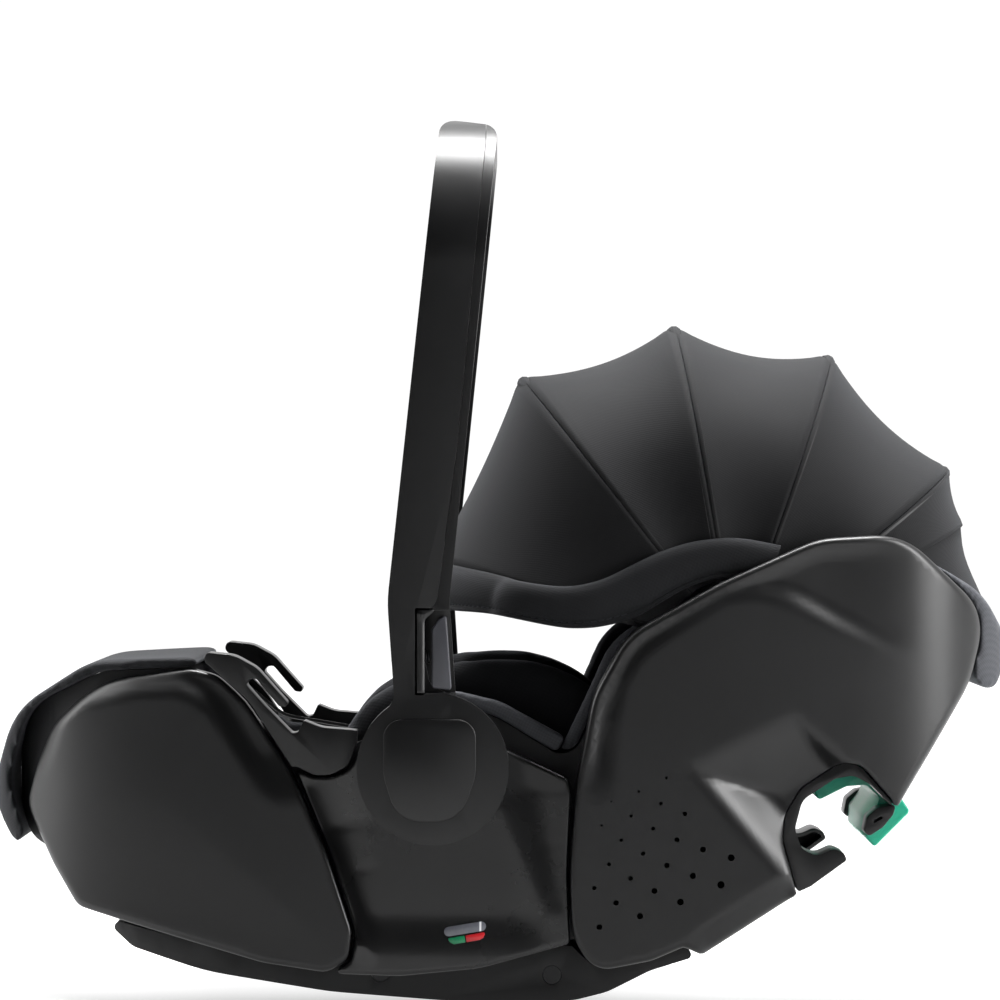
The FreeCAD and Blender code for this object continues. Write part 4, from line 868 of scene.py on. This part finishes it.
def prism(name, corners, near, far, finish_name, holes=()):
    """A flat moulded piece with that side view, between two distances from the middle plane."""
    outline = fillet(corners, 1.2)
    if sum(a.x * b.y - b.x * a.y for a, b in zip(outline, outline[1:] + outline[:1])) < 0:
        outline.reverse()
    rings = [[tuple(p) for p in outline]] + [list(hole) for hole in holes]
    spots, edges = [], []
    for ring in rings:
        first = len(spots)
        spots += ring
        edges += [(first + i, first + (i + 1) % len(ring)) for i in range(len(ring))]
    found, _, faces, _, _, _ = delaunay_2d_cdt([Vector(p) for p in spots], edges, [], 1, 1e-4)
    flat = np.array([tuple(p) for p in found])
    centres = np.array([flat[list(f)].mean(0) for f in faces])
    wanted = inside(centres, outline)
    for hole in holes:
        wanted &= ~inside(centres, hole)
    n = len(flat)
    points = [(x, near, z) for x, z in flat] + [(x, far, z) for x, z in flat]
    sides = []
    for f, w in zip(faces, wanted):
        if w:
            sides += [tuple(f), tuple(i + n for i in reversed(f))]
    loop = [e for f, w in zip(faces, wanted) if w for e in zip(f, tuple(f[1:]) + (f[0],))]
    walls = [(a, a + n, b + n, b) for a, b in loop if (b, a) not in set(loop)]
    obj = mesh_piece(name, points, sides + walls, finish_name)
    weld(obj)
    return obj


class SEAT_OT_belt_path(bpy.types.Operator):
    """Rounds the belt guides, the slot surrounds and the green belt path"""

    bl_idname = "car_seat.belt_path"
    bl_label = "Belt path"

    def execute(self, context):
        for word, _ in SIDES:
            cad_copy(f"lap_belt_guide_{word}", f"belt_guide_{word}", "cover_plastic", 0.0016)
            cad_copy(f"belt_surround_{word}", f"slot_surround_{word}", "cover_plastic", 0.0018)
        cad_copy("belt_channel", "green_belt_path", "green_plastic", 0.0012)
        plate = prism("hook_plate_left", HOOK_PLATE, -150.0, -112.2, "cover_plastic", [HOOK_SLOT])
        apply_modifier(plate, "BEVEL", width=0.0009, segments=2, limit_method="ANGLE", angle_limit=math.radians(35))
        smooth_by_angle(plate, 35)
        for piece in (plate, mirror_copy(plate, "hook_plate_right")):
            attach(piece, "seat")
        return {"FINISHED"}


POCKET_LID = [(-54.6, 201.5, 0.5), (-48.5, 201.5, 0.5), (-48.5, 250, 4), (-40, 257.5, 4), (-54.6, 257.5, 0.5)]


class SEAT_OT_handle(bpy.types.Operator):
    """Rounds the carrying handle with its hubs, caps and buttons"""

    bl_idname = "car_seat.handle"
    bl_label = "Handle"

    def execute(self, context):
        cad_copy("handle_front_shell", "handle_front", "handle_plastic", 0.0022, 4, body="handle")
        cad_copy("handle_rear_shell", "handle_rear", "handle_plastic", 0.0016, 3, body="handle")
        cad_copy("hub_caps", "hub_cap_pair", "handle_plastic", 0.0005, 2, body="handle")
        lid = prism("pocket_lid_left", POCKET_LID, -LEG_OUTER, -LEG_OUTER + 1.6, "handle_plastic")
        for piece in (lid, mirror_copy(lid, "pocket_lid_right")):
            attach(piece, "handle")
        for word, _ in SIDES:
            cad_copy(f"handle_button_{word}", f"release_button_{word}", "grey_plastic", 0.0012, body=f"button_{word}")
            paint(f"button_spring_{word}", "blackened_steel")
            paint(f"lock_ring_{word}", "hidden_plastic")
            paint(f"hub_pivot_{word}", "hidden_plastic")
        return {"FINISHED"}


# ---------------------------------------------------------------- canopy
BOWS = [
    ("bow_front", 163.8, 202.0, 0.0), ("bow_second", 127.7, 223.5, 0.0), ("bow_third", 99.5, 214.0, 0.0),
    ("bow_fourth", 70.3, 203.5, 3.0), ("bow_rear", 38.4, 187.5, 10.0), ("rear_edge", 27.0, 176.0, 24.0),
]
MIDDLE_REACH = [199.0, 203.5, 192.0, 180.0, 178.0]
CANOPY_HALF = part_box("canopy_panel_second")[1].y * 1000
ARCH_START = 72.0


def turned(angle, reach, y):
    """A point at a reach and angle about the canopy's pivot."""
    a = math.radians(angle)
    return (PIVOT.x + reach * math.cos(a), y, PIVOT.z + reach * math.sin(a))


def arch_point(share, tip, half):
    """Reach and y on a bow's arch; share runs from 0 at its left foot to 1 at its right foot."""
    turn = math.pi * share
    out = abs(math.sin(turn)) ** 0.8
    across = math.copysign(abs(math.cos(turn)) ** 0.8, math.cos(turn))
    return ARCH_START + (tip - ARCH_START) * out, -half * across


def arch_shares(count):
    """Shares close together where the arch turns most."""
    fine = np.linspace(0, 1, 2001)
    spots = np.array([arch_point(s, 210, 180) for s in fine])
    run = np.concatenate([[0], np.cumsum(np.linalg.norm(np.diff(spots, axis=0), axis=1))])
    return np.interp(np.linspace(0, run[-1], count + 1), run, fine)


def gore_grid(index, rows, spans, foot=46.0):
    """Grid of points of the cloth between two bows, with straight runs down to foot from the pivot."""
    (_, angle_a, tip_a, less_a), (_, angle_b, tip_b, less_b) = BOWS[index], BOWS[index + 1]
    half_turn = math.radians(abs(angle_a - angle_b)) / 2
    chord_mid = (tip_a + tip_b) / 2 * math.cos(half_turn)
    grid = []
    for r in range(rows + 1):
        u = r / rows
        a, b = math.radians(angle_a), math.radians(angle_b)
        hollow = 4 * u * (1 - u)
        line = []
        for share in arch_shares(spans):
            reach_a, y_a = arch_point(share, tip_a + CLOTH_LIFT, CANOPY_HALF - less_a)
            reach_b, y_b = arch_point(share, tip_b + CLOTH_LIFT, CANOPY_HALF - less_b)
            x = reach_a * math.cos(a) * (1 - u) + reach_b * math.cos(b) * u
            z = reach_a * math.sin(a) * (1 - u) + reach_b * math.sin(b) * u
            y = y_a * (1 - u) + y_b * u
            reach = math.hypot(x, z)
            top = min(1.0, ((reach_a + reach_b) / 2 - ARCH_START) / ((tip_a + tip_b) / 2 + CLOTH_LIFT - ARCH_START))
            inward = hollow * (MIDDLE_REACH[index] - chord_mid) * top
            y *= 1 - hollow * 6.5 * (1 - abs(top)) ** 0.5 / CANOPY_HALF * min(1.0, reach / 130)
            # a faint crease beside each bow, where the cloth is stitched round it
            near = min(u, 1 - u)
            dip = -0.7 * math.exp(-((near / 0.012) ** 2))
            swell = 0.35 * math.exp(-(((near - 0.06) / 0.03) ** 2))
            k = (reach + inward + (dip + swell) * top) / max(reach, 1e-6)
            side_dip = (dip + swell) * (1 - top)
            y -= math.copysign(side_dip * 0.8, y) if abs(y) > 1 else 0.0
            line.append((PIVOT.x + x * k, y, PIVOT.z + z * k))
        # straight runs down to the feet at both ends
        for end, order in ((0, 0), (-1, 1)):
            first = line[end]
            reach = math.hypot(first[0] - PIVOT.x, first[2] - PIVOT.z)
            down = []
            for t in (0.25, 0.5, 0.75, 1.0):
                k = 1 - t * (1 - foot / reach)
                down.append((PIVOT.x + (first[0] - PIVOT.x) * k, first[1], PIVOT.z + (first[2] - PIVOT.z) * k))
            line = down[::-1] + line if order == 0 else line + down
        grid.append(line)
    return grid


def grid_mesh(name, grid, finish_name):
    rows, cols = len(grid), len(grid[0])
    points = [p for line in grid for p in line]
    faces = []
    for r in range(rows - 1):
        for c in range(cols - 1):
            a, b, d, e = r * cols + c, r * cols + c + 1, (r + 1) * cols + c + 1, (r + 1) * cols + c
            faces.append((a, b, d, e))
    return mesh_piece(name, points, faces, finish_name)


def sheet_size(grid):
    """Longest run along and across a grid, and its area, in metres and square metres."""
    g = np.array(grid) * MM
    along = np.linalg.norm(np.diff(g, axis=1), axis=2).sum(1).max()
    across = np.linalg.norm(np.diff(g, axis=0), axis=2).sum(0).max()
    e1, e2 = g[:-1, 1:] - g[:-1, :-1], g[1:, :-1] - g[:-1, :-1]
    f1, f2 = g[1:, :-1] - g[1:, 1:], g[:-1, 1:] - g[1:, 1:]
    area = (np.linalg.norm(np.cross(e1, e2), axis=2) + np.linalg.norm(np.cross(f1, f2), axis=2)).sum() / 2
    return float(across), float(along), float(area)


def declare_sheet(grid):
    across, along, area = sheet_size(grid)
    area = min(area, across * along)


def tube(name, path, radii, finish_name, sides=10):
    """A round piped edge along a path, with a radius for each of its points."""
    pts = [Vector(p) for p in path]
    points, faces = [], []
    before = None
    for i, p in enumerate(pts):
        d = (pts[min(i + 1, len(pts) - 1)] - pts[max(i - 1, 0)]).normalized()
        if before is None:
            n = d.orthogonal().normalized()
        else:
            n = (before - d * before.dot(d)).normalized()
        before = n
        m = d.cross(n)
        for k in range(sides):
            a = 2 * math.pi * k / sides
            points.append(tuple(p + (n * math.cos(a) + m * math.sin(a)) * radii[i]))
    for i in range(len(pts) - 1):
        for k in range(sides):
            a, b = i * sides + k, i * sides + (k + 1) % sides
            faces.append((a, b, b + sides, a + sides))
    faces.append(tuple(range(sides))[::-1])
    faces.append(tuple(range((len(pts) - 1) * sides, len(pts) * sides)))
    return mesh_piece(name, points, faces, finish_name)


def stitches(name, path, outward, length=3.4, gap=1.6, radius=0.55, finish_name="thread"):
    """A row of stitches lying on a path, each a small rounded bar; outward gives the way off the cloth."""
    even = resample(path, length + gap)
    points, faces = [], []
    for p, q in zip(even[:-1], even[1:]):
        d = (q - p).normalized()
        out = Vector(outward(p)).normalized()
        side = d.cross(out).normalized()
        first = len(points)
        for t, r in ((0.0, 0.35), (0.2, 1.0), (0.8, 1.0), (1.0, 0.35)):
            centre = p + d * length * t + out * (radius * 0.35)
            for k in range(5):
                a = 2 * math.pi * k / 5
                points.append(tuple(centre + (side * math.cos(a) + out * math.sin(a)) * radius * r))
        for ring in range(3):
            for k in range(5):
                a, b = first + ring * 5 + k, first + ring * 5 + (k + 1) % 5
                faces.append((a, b, b + 5, a + 5))
        faces.append(tuple(range(first, first + 5))[::-1])
        faces.append(tuple(range(first + 15, first + 20)))
    obj = mesh_piece(name, points, faces, finish_name)
    weld(obj, 0.000001)
    return obj


def chord_ends(index, reach=140.0):
    """Where the cloth of a gore starts and ends its turn, on the line between its two bows."""
    return [Vector(turned(BOWS[i][1], reach, 0.0)) * MM for i in (index + 1, index)]


TAIL_ROWS = (
    (27.5, 176.4, 24), (23, 170.5, 27), (18.5, 169.5, 30), (13, 172, 34), (8, 176, 38), (3, 180, 43),
)


class SEAT_OT_canopy(bpy.types.Operator):
    """Builds the canopy's gores and the piped sleeves of its bows"""

    bl_idname = "car_seat.canopy"
    bl_label = "Canopy"

    def execute(self, context):
        s = context.scene.seat_canopy
        names = ["front", "second", "third", "fourth", "rear"]
        bodies = [
            ("bow_second", "bow_front"), ("bow_third", "bow_second"), ("bow_fourth", "bow_third"),
            ("seat", "bow_fourth"), None,
        ]
        for i, label in enumerate(names):
            grid = gore_grid(i, s.rows if label != "rear" else 10, s.spans)
            gore = grid_mesh(f"canopy_gore_{label}", grid, "canopy_cloth")
            apply_modifier(gore, "SOLIDIFY", thickness=CLOTH_THICK, offset=-1.0)
            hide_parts(f"canopy_panel_{label}")
            declare_sheet(grid)
            if bodies[i] is None:
                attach(gore, "seat")
            else:
                start, end = chord_ends(i)
                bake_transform(gore)
        tail_rows = []
        for angle, tip, less in TAIL_ROWS:
            row = []
            for share in np.linspace(0.13, 0.87, 61):
                reach, y = arch_point(share, tip, CANOPY_HALF - less)
                row.append(turned(angle, reach, y))
            tail_rows.append(row)
        tail = grid_mesh("canopy_tail", tail_rows, "canopy_cloth")
        apply_modifier(tail, "SOLIDIFY", thickness=CLOTH_THICK, offset=-1.0)
        apply_modifier(tail, "SUBSURF", levels=1, render_levels=1)
        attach(tail, "seat")
        declare_sheet(tail_rows)
        for label, angle, tip, less in BOWS[:-1]:
            path, radii = [], []
            for share in arch_shares(70):
                crown = math.sin(math.pi * share) ** 6
                radius = 1.8 + 3.0 * crown
                reach, y = arch_point(share, tip + 0.2 - radius + 3.0 * crown, CANOPY_HALF - less - radius - 1.6)
                path.append(turned(angle, reach, y))
                radii.append(radius)
            feet = [turned(angle, 48, path[0][1]), turned(angle, 60, path[0][1])]
            other = [turned(angle, 60, path[-1][1]), turned(angle, 48, path[-1][1])]
            ends = [1.8, 1.8]
            sleeve = tube(f"canopy_sleeve_{label}", feet + path + other, ends + radii + ends, "canopy_cloth")
            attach(sleeve, "seat" if label == "bow_rear" else label)
            paint(f"canopy_{label}", "hidden_plastic")
        return {"FINISHED"}


BAND_TOP = [(162.4, 146), (160, 117), (154, 100), (148, 92), (132, 82), (118, 77), (104, 74), (87, 73), (66, 74)]
BAND_HEM = [(171.8, 153), (173, 114), (172, 98), (170, 86), (162, 66), (146, 56), (120, 50), (90, 48), (62, 48)]


def band_lines():
    """Upper and lower edge of the canopy's padded band, from its crown down one side to its end."""
    upper, lower = [], []
    for share in np.linspace(0.5, 0.16, 26):
        reach, y = arch_point(share, 202, CANOPY_HALF + 0.8)
        if reach < 150:
            break
        k = ease(reach, 150, 196)
        upper.append(turned(162.4 + 0.9 * k, reach, y))
        lower.append(turned(171.8 + 0.8 * k, reach + 6 * (1 - k), y))
    side = -(CANOPY_HALF + 0.8)
    for (a1, r1), (a2, r2) in zip(BAND_TOP, BAND_HEM):
        share = np.interp(r1, [73, 100, 120, 146], [1.0, 0.999, 0.985, 0.955])
        upper.append(turned(a1, r1, side * share))
        lower.append(turned(a2, r2, side * share))
    return upper, lower


def smooth_path(path, count):
    """An even, rounded run through a path's points."""
    pts = np.array([tuple(p) for p in path])
    for _ in range(3):
        q = np.empty((2 * len(pts) - 2, 3))
        q[0::2] = 0.75 * pts[:-1] + 0.25 * pts[1:]
        q[1::2] = 0.25 * pts[:-1] + 0.75 * pts[1:]
        pts = np.vstack([pts[:1], q, pts[-1:]])
    return fixed_count(pts, count)


def fixed_count(pts, count):
    """That many points, evenly spaced along a path."""
    run = np.concatenate([[0], np.cumsum(np.linalg.norm(np.diff(pts, axis=0), axis=1))])
    at = np.linspace(0, run[-1], count)
    return [Vector(tuple(np.interp(a, run, pts[:, k]) for k in range(3))) for a in at]


class SEAT_OT_canopy_band(bpy.types.Operator):
    """Builds the padded band along the canopy's front edge and its curl round the pivots"""

    bl_idname = "car_seat.canopy_band"
    bl_label = "Canopy band"

    def execute(self, context):
        upper, lower = band_lines()
        cross = [0.0, 0.03, 0.08, 0.2, 0.35, 0.5, 0.65, 0.78, 0.84, 0.87, 0.9, 0.97, 1.0]
        puff = [0.0, 2.6, 4.2, 5.6, 6.2, 6.0, 5.2, 3.8, 2.6, 1.5, 2.2, 1.8, 0.0]
        full_upper = [(x, -y, z) for x, y, z in upper[:0:-1]] + upper
        full_lower = [(x, -y, z) for x, y, z in lower[:0:-1]] + lower
        count = 221
        top, hem = smooth_path(full_upper, count), smooth_path(full_lower, count)
        axis = Vector(PIVOT)
        grid_out, grid_in = [], []
        for t, out in zip(cross, puff):
            line_out, line_in = [], []
            for i in range(count):
                p = top[i].lerp(hem[i], t)
                along = (top[min(i + 1, count - 1)] - top[max(i - 1, 0)]).normalized()
                width = (hem[i] - top[i]).normalized()
                out_way = along.cross(width).normalized()
                away = p - Vector((axis.x, 0, axis.z))
                if out_way.dot(Vector((away.x * 0.3, away.y * 2.0, away.z))) < 0:
                    out_way.negate()
                line_out.append(tuple(p + out_way * out))
                line_in.append(tuple(p - out_way * 1.2))
            grid_out.append(line_out)
            grid_in.append(line_in)
        cut_a = round(count * 0.135)
        ring = grid_out + grid_in[-2:0:-1]
        pieces = (("crown", cut_a, count - 1 - cut_a), ("left", count - 1 - cut_a, count - 1), ("right", 0, cut_a))
        for label, first, last in pieces:
            points, faces, n = [], [], len(ring)
            for line in ring:
                points += line[first : last + 1]
            width = last - first + 1
            for r in range(n):
                for c in range(width - 1):
                    a, b = r * width + c, ((r + 1) % n) * width + c
                    faces.append((a, a + 1, b + 1, b))
            faces.append(tuple(r * width for r in range(n)))
            faces.append(tuple(r * width + width - 1 for r in range(n))[::-1])
            band = mesh_piece(f"canopy_band_{label}", points, faces, "band_cloth")
            weld(band)
            smooth_by_angle(band, 50)
            if label == "crown":
                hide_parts("canopy_front_band")
                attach(band, "bow_front")
            else:
                start, end = chord_ends(0, 90.0)
                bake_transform(band)
        row = grid_out[9]
        inner = [Vector(p) for p in row[cut_a : count - 1 - cut_a + 1]]
        seam = stitches("canopy_band_stitching", inner, lambda p: (p.x - axis.x, p.y * 2.2, (p.z - axis.z)), radius=0.5)
        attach(seam, "bow_front")
        return {"FINISHED"}


# ---------------------------------------------------------------- padding
def pad_copy(
    node, name, finish_name, voxel=4.0, pressure=0.0, cap=6.0, smooth=6, shrink=0.4, body="seat", fill=0.6, slot=None
):
    """A stuffed copy of a CAD solid: remeshed, rounded and swelled by cloth simulation where given."""
    source = frame["nodes"][node]
    obj = bpy.data.objects.new(name, source.data.copy())
    bpy.context.scene.collection.objects.link(obj)
    weld(obj, 0.000005)
    obj.data.materials.clear()
    obj.data.materials.append(finish(finish_name))
    apply_modifier(obj, "REMESH", mode="VOXEL", voxel_size=voxel * MM, adaptivity=0.0)
    apply_modifier(obj, "SMOOTH", factor=0.5, iterations=smooth)
    if shrink:
        apply_modifier(obj, "DISPLACE", strength=-shrink * MM, mid_level=0.0)
    if pressure:
        puff(obj, pressure, cap * MM)
    apply_modifier(obj, "SMOOTH", factor=0.5, iterations=2)
    if len(obj.data.polygons) < 24000:
        apply_modifier(obj, "SUBSURF", levels=1, render_levels=1)
    obj.data.shade_smooth()
    return stand_for(obj, node, body, slot)


def puff(obj, pressure, cap):
    """Blows a closed pad up with cloth pressure and keeps each point within cap of where it was."""
    rest = np.array([tuple(v.co) for v in obj.data.vertices])
    scene = bpy.context.scene
    modifier = obj.modifiers.new("puff", "CLOTH")
    cloth_set = modifier.settings
    cloth_set.use_pressure = True
    cloth_set.uniform_pressure_force = pressure
    cloth_set.effector_weights.gravity = 0.0
    cloth_set.quality = 5
    cloth_set.mass = 0.3
    cloth_set.tension_stiffness = cloth_set.compression_stiffness = 12.0
    cloth_set.bending_stiffness = 0.6
    modifier.point_cache.frame_start, modifier.point_cache.frame_end = 1, 20
    for number in range(1, 17):
        scene.frame_set(number)
    settled = obj.evaluated_get(bpy.context.evaluated_depsgraph_get())
    moved = np.array([tuple(v.co) for v in settled.data.vertices])
    scene.frame_set(1)
    obj.modifiers.remove(modifier)
    if moved.shape != rest.shape or not np.isfinite(moved).all():
        raise RuntimeError(f"{obj.name}: the cloth simulation failed")
    step = moved - rest
    size = np.linalg.norm(step, axis=1, keepdims=True)
    step *= np.minimum(1.0, cap / np.maximum(size, 1e-9))
    obj.data.vertices.foreach_set("co", (rest + step).ravel())
    obj.data.update()


class SEAT_OT_rims(bpy.types.Operator):
    """Builds the padded rims of the bucket"""

    bl_idname = "car_seat.rims"
    bl_label = "Padded rims"

    def execute(self, context):
        # the head and side rims take the rim cloth painted lighter, a painted light for the shade they lie in
        for node, cloth_name in (("foot_rim_pad", "rim_cloth"), ("head_rim_pad", "head_rim_cloth")):
            pad_copy(node, node.replace("_pad", "_cloth"), cloth_name, 3.6, smooth=5, shrink=0.0)
        for word, _ in SIDES:
            pad_copy(f"side_rim_pad_{word}", f"side_rim_cloth_{word}", "head_rim_cloth", 2.4, smooth=4, shrink=0.0)
        return {"FINISHED"}


class SEAT_OT_liner(bpy.types.Operator):
    """Builds the liner, the newborn insert and the headrest"""

    bl_idname = "car_seat.liner"
    bl_label = "Liner, insert and headrest"

    def execute(self, context):
        pad_copy("seat_liner", "liner_cloth_layer", "liner_cloth", 4.2, smooth=3, shrink=0.0, fill=0.4)
        stuffed = {"smooth": 8, "shrink": 1.0}
        pad_copy("newborn_insert", "newborn_cushion", "insert_cloth", 5.0, 3.5, 5.0, fill=0.7, **stuffed)
        pad_copy("headrest_pad", "headrest_cushion", "insert_cloth", 4.0, 3.0, 4.0, body="headrest", **stuffed)
        cad_copy("headrest_shell", "headrest_back", "hidden_plastic", 0.0012, body="headrest")
        return {"FINISHED"}


class SEAT_OT_harness(bpy.types.Operator):
    """Builds the harness: straps, shoulder pads, buckle and adjuster"""

    bl_idname = "car_seat.harness"
    bl_label = "Harness"

    def execute(self, context):
        for word, _ in SIDES:
            cad_copy(f"shoulder_strap_{word}", f"harness_strap_{word}", "webbing", 0.0005, 2)
            pad_copy(f"shoulder_pad_{word}", f"shoulder_cushion_{word}", "insert_cloth", 2.2, 0.0, smooth=6, shrink=0.0)
            cad_copy(f"buckle_tongue_{word}", f"tongue_{word}", "hidden_plastic", 0.0006, 2)
        cad_copy("crotch_strap", "crotch_webbing", "webbing", 0.0005, 2)
        cad_copy("buckle_body", "buckle", "base_plastic", 0.002)
        cad_copy("buckle_button", "buckle_press", "red_plastic", 0.001, body="red_button")
        cad_copy("adjuster_housing", "adjuster_frame", "base_plastic", 0.001)
        cad_copy("adjuster_button", "adjuster_press", "grey_plastic", 0.0008, body="adjuster")
        cad_copy("release_lever", "back_lever", "grey_plastic", 0.001, body="lever")
        paint("canopy_pins", "hidden_plastic")
        return {"FINISHED"}


def flag_outline(kind):
    """Side view outline of one window of the status display, in mm, leaning up towards the head end."""
    lean, middle_x, middle_z = math.radians(9.5), -22.6, 49.6
    outline = []
    if kind == "pill":
        for a in range(-90, 91, 15):
            outline.append((10.6 + 3.1 * math.cos(math.radians(a)), 3.1 * math.sin(math.radians(a))))
        for a in range(90, 271, 15):
            outline.append((-10.6 + 3.1 * math.cos(math.radians(a)), 3.1 * math.sin(math.radians(a))))
    elif kind == "green":
        outline = [(-1.1, -4.1), (-11.6, -4.1), (-12.0, -5.2), (-10.6, -7.4), (-8.4, -8.6), (-1.1, -8.6)]
    else:
        outline = [(-0.4, -4.1), (-0.4, -8.6), (8.0, -8.6), (10.6, -7.6), (12.2, -5.4), (11.8, -4.1)]
    rise, run = math.sin(lean), math.cos(lean)
    return [(middle_x + x * run - z * rise, middle_z + x * rise + z * run) for x, z in outline]


class SEAT_OT_status_display(bpy.types.Operator):
    """Builds the status display: grey window, green and red flags"""

    bl_idname = "car_seat.status_display"
    bl_label = "Status display"

    def execute(self, context):
        pieces = []
        for kind, finish_name in (("pill", "pill"), ("green", "flag_green"), ("red", "flag_red")):
            outline = flag_outline(kind)
            area = sum(a[0] * b[1] - b[0] * a[1] for a, b in zip(outline, outline[1:] + outline[:1]))
            if area < 0:
                outline.reverse()
            n = len(outline)
            near, far = -(PANEL_HALF + 0.45), -(PANEL_HALF - 0.6)
            points = [(x, near, z) for x, z in outline] + [(x, far, z) for x, z in outline]
            faces = [tuple(range(n)), tuple(range(2 * n - 1, n - 1, -1))]
            faces += [(i, n + i, n + (i + 1) % n, (i + 1) % n) for i in range(n)]
            window = mesh_piece(f"window_{kind}_left", points, faces, finish_name)
            weld(window)
            apply_modifier(
                window, "BEVEL", width=0.00035, segments=2, limit_method="ANGLE", angle_limit=math.radians(40)
            )
            smooth_by_angle(window, 35)
            twin = mirror_copy(window, f"window_{kind}_right")
            pieces += [window, twin]
        for piece in pieces:
            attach(piece, "seat")
        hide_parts("indicator_windows")
        return {"FINISHED"}


# ---------------------------------------------------------------- stage
def soft_light(name, place, aim, width, height, power, spread=180):
    data = bpy.data.lights.new(name, "AREA")
    data.shape, data.size, data.size_y = "RECTANGLE", width, height
    data.energy, data.spread = power, math.radians(spread)
    lamp = bpy.data.objects.new(name, data)
    bpy.context.scene.collection.objects.link(lamp)
    lamp.location = place
    lamp.rotation_euler = (Vector(aim) - Vector(place)).to_track_quat("-Z", "Y").to_euler()
    return lamp


class SEAT_OT_stage(bpy.types.Operator):
    """Sets up the pale floor, soft lights and camera"""

    bl_idname = "car_seat.stage"
    bl_label = "Stage"

    def execute(self, context):
        rings, around, drop = (0.5, 1.5, 3.0, 5.6, 9.0), 72, -0.2
        n = len(rings)
        points = [(0.0, 0.0, drop)]
        for k in range(around):
            turn = 2 * math.pi * k / around
            points += [(r * 1000 * math.cos(turn), r * 1000 * math.sin(turn), drop) for r in rings]
        faces = [(0, 1 + k * n, 1 + (k + 1) % around * n) for k in range(around)]
        for k in range(around):
            a, b = 1 + k * n, 1 + (k + 1) % around * n
            faces += [(a + i, a + i + 1, b + i + 1, b + i) for i in range(n - 1)]
        mesh_piece("pale_floor", points, faces, "floor_paper")
        centre = (0.0, 0.0, 0.28)
        soft_light("light_top", (0.1, 0.4, 2.6), centre, 2.2, 1.0, 60, 90)
        soft_light("light_left", (-2.4, 0.4, 1.3), centre, 0.8, 2.2, 36)
        soft_light("light_right", (2.3, -0.75, 1.2), centre, 0.8, 2.0, 95)
        soft_light("light_high", (0.0, -2.4, 3.2), centre, 3.0, 1.4, 2.5)
        world = bpy.data.worlds.new("studio")
        world.use_nodes = True
        nodes, links = world.node_tree.nodes, world.node_tree.links
        kinds = ("ShaderNodeTexCoord", "ShaderNodeSeparateXYZ", "ShaderNodeMapRange")
        way, split, share = (nodes.new(kind) for kind in kinds)
        share.interpolation_type = "SMOOTHSTEP"
        for socket, value in zip(share.inputs[1:5], (-0.25, 0.75, 0.035, 1.04)):
            socket.default_value = value
        links.new(way.outputs["Generated"], split.inputs[0])
        links.new(split.outputs["Y"], share.inputs[0])
        links.new(share.outputs[0], nodes["Background"].inputs["Strength"])
        nodes["Background"].inputs["Color"].default_value = (1.0, 1.0, 1.0, 1.0)
        context.scene.world = world
        data = bpy.data.cameras.new("camera")
        data.lens, data.sensor_width, data.clip_end = 240.0, 36.0, 50.0
        camera = bpy.data.objects.new("camera", data)
        context.scene.collection.objects.link(camera)
        camera.location = (0.0, -4.5, 0.327)
        camera.rotation_euler = (math.radians(90), 0.0, 0.0)
        context.scene.camera = camera
        context.scene.view_settings.view_transform = "Standard"
        return {"FINISHED"}


def floor_finish():
    """Pale paper with a painted glow: its emission lights it up behind the seat and far away from it."""
    f = Finish("floor_paper")
    x, y, z = f.split(f.place())
    cloud = f.noise(3.0, 2.0)
    reach = (x * x + y * y) ** 0.5
    # painted glow: emission strongest behind the seat and far off, none just in front of it
    behind, far = y.smooth(-0.4, 0.05), reach.smooth(1.4, 3.0)
    bright = behind + far - behind * far
    return f.surface(
        Base_Color=f.mix(cloud, (0.36, 0.36, 0.36), (0.40, 0.40, 0.40)), Roughness=0.9,
        Emission_Color=f.mix(bright, (0.0, 0.0, 0.0), (1.0, 1.0, 1.0)), Emission_Strength=1.0,
    )


FINISHES["floor_paper"] = floor_finish


STEPS = (
    SEAT_OT_base, SEAT_OT_head_cover, SEAT_OT_foot_cover, SEAT_OT_middle_panels, SEAT_OT_belt_path, SEAT_OT_handle,
    SEAT_OT_rims, SEAT_OT_liner, SEAT_OT_harness, SEAT_OT_status_display, SEAT_OT_canopy, SEAT_OT_canopy_band,
    SEAT_OT_stage,
)


class SEAT_PT_panel(bpy.types.Panel):
    """Lists the seat's settings and build steps"""

    bl_label = "Infant car seat"
    bl_idname = "SEAT_PT_panel"
    bl_space_type = "VIEW_3D"
    bl_region_type = "UI"
    bl_category = "Car seat"

    def draw(self, context):
        for holder in (context.scene.seat_shells, context.scene.seat_canopy, context.scene.seat_padding):
            box = self.layout.box()
            for prop in holder.bl_rna.properties:
                if prop.identifier not in ("rna_type", "name"):
                    box.prop(holder, prop.identifier)
        for step in STEPS:
            self.layout.operator(step.bl_idname)


CLASSES = (ShellSettings, CanopySettings, PaddingSettings, *STEPS, SEAT_PT_panel)


def register():
    for cls in CLASSES:
        bpy.utils.register_class(cls)
    bpy.types.Scene.seat_shells = PointerProperty(type=ShellSettings)
    bpy.types.Scene.seat_canopy = PointerProperty(type=CanopySettings)
    bpy.types.Scene.seat_padding = PointerProperty(type=PaddingSettings)


def unregister():
    del bpy.types.Scene.seat_padding
    del bpy.types.Scene.seat_canopy
    del bpy.types.Scene.seat_shells
    for cls in reversed(CLASSES):
        bpy.utils.unregister_class(cls)


def main():
    register()
    for step in STEPS:
        group, action = step.bl_idname.split(".")
        getattr(getattr(bpy.ops, group), action)()


if __name__ == "__main__":
    main()
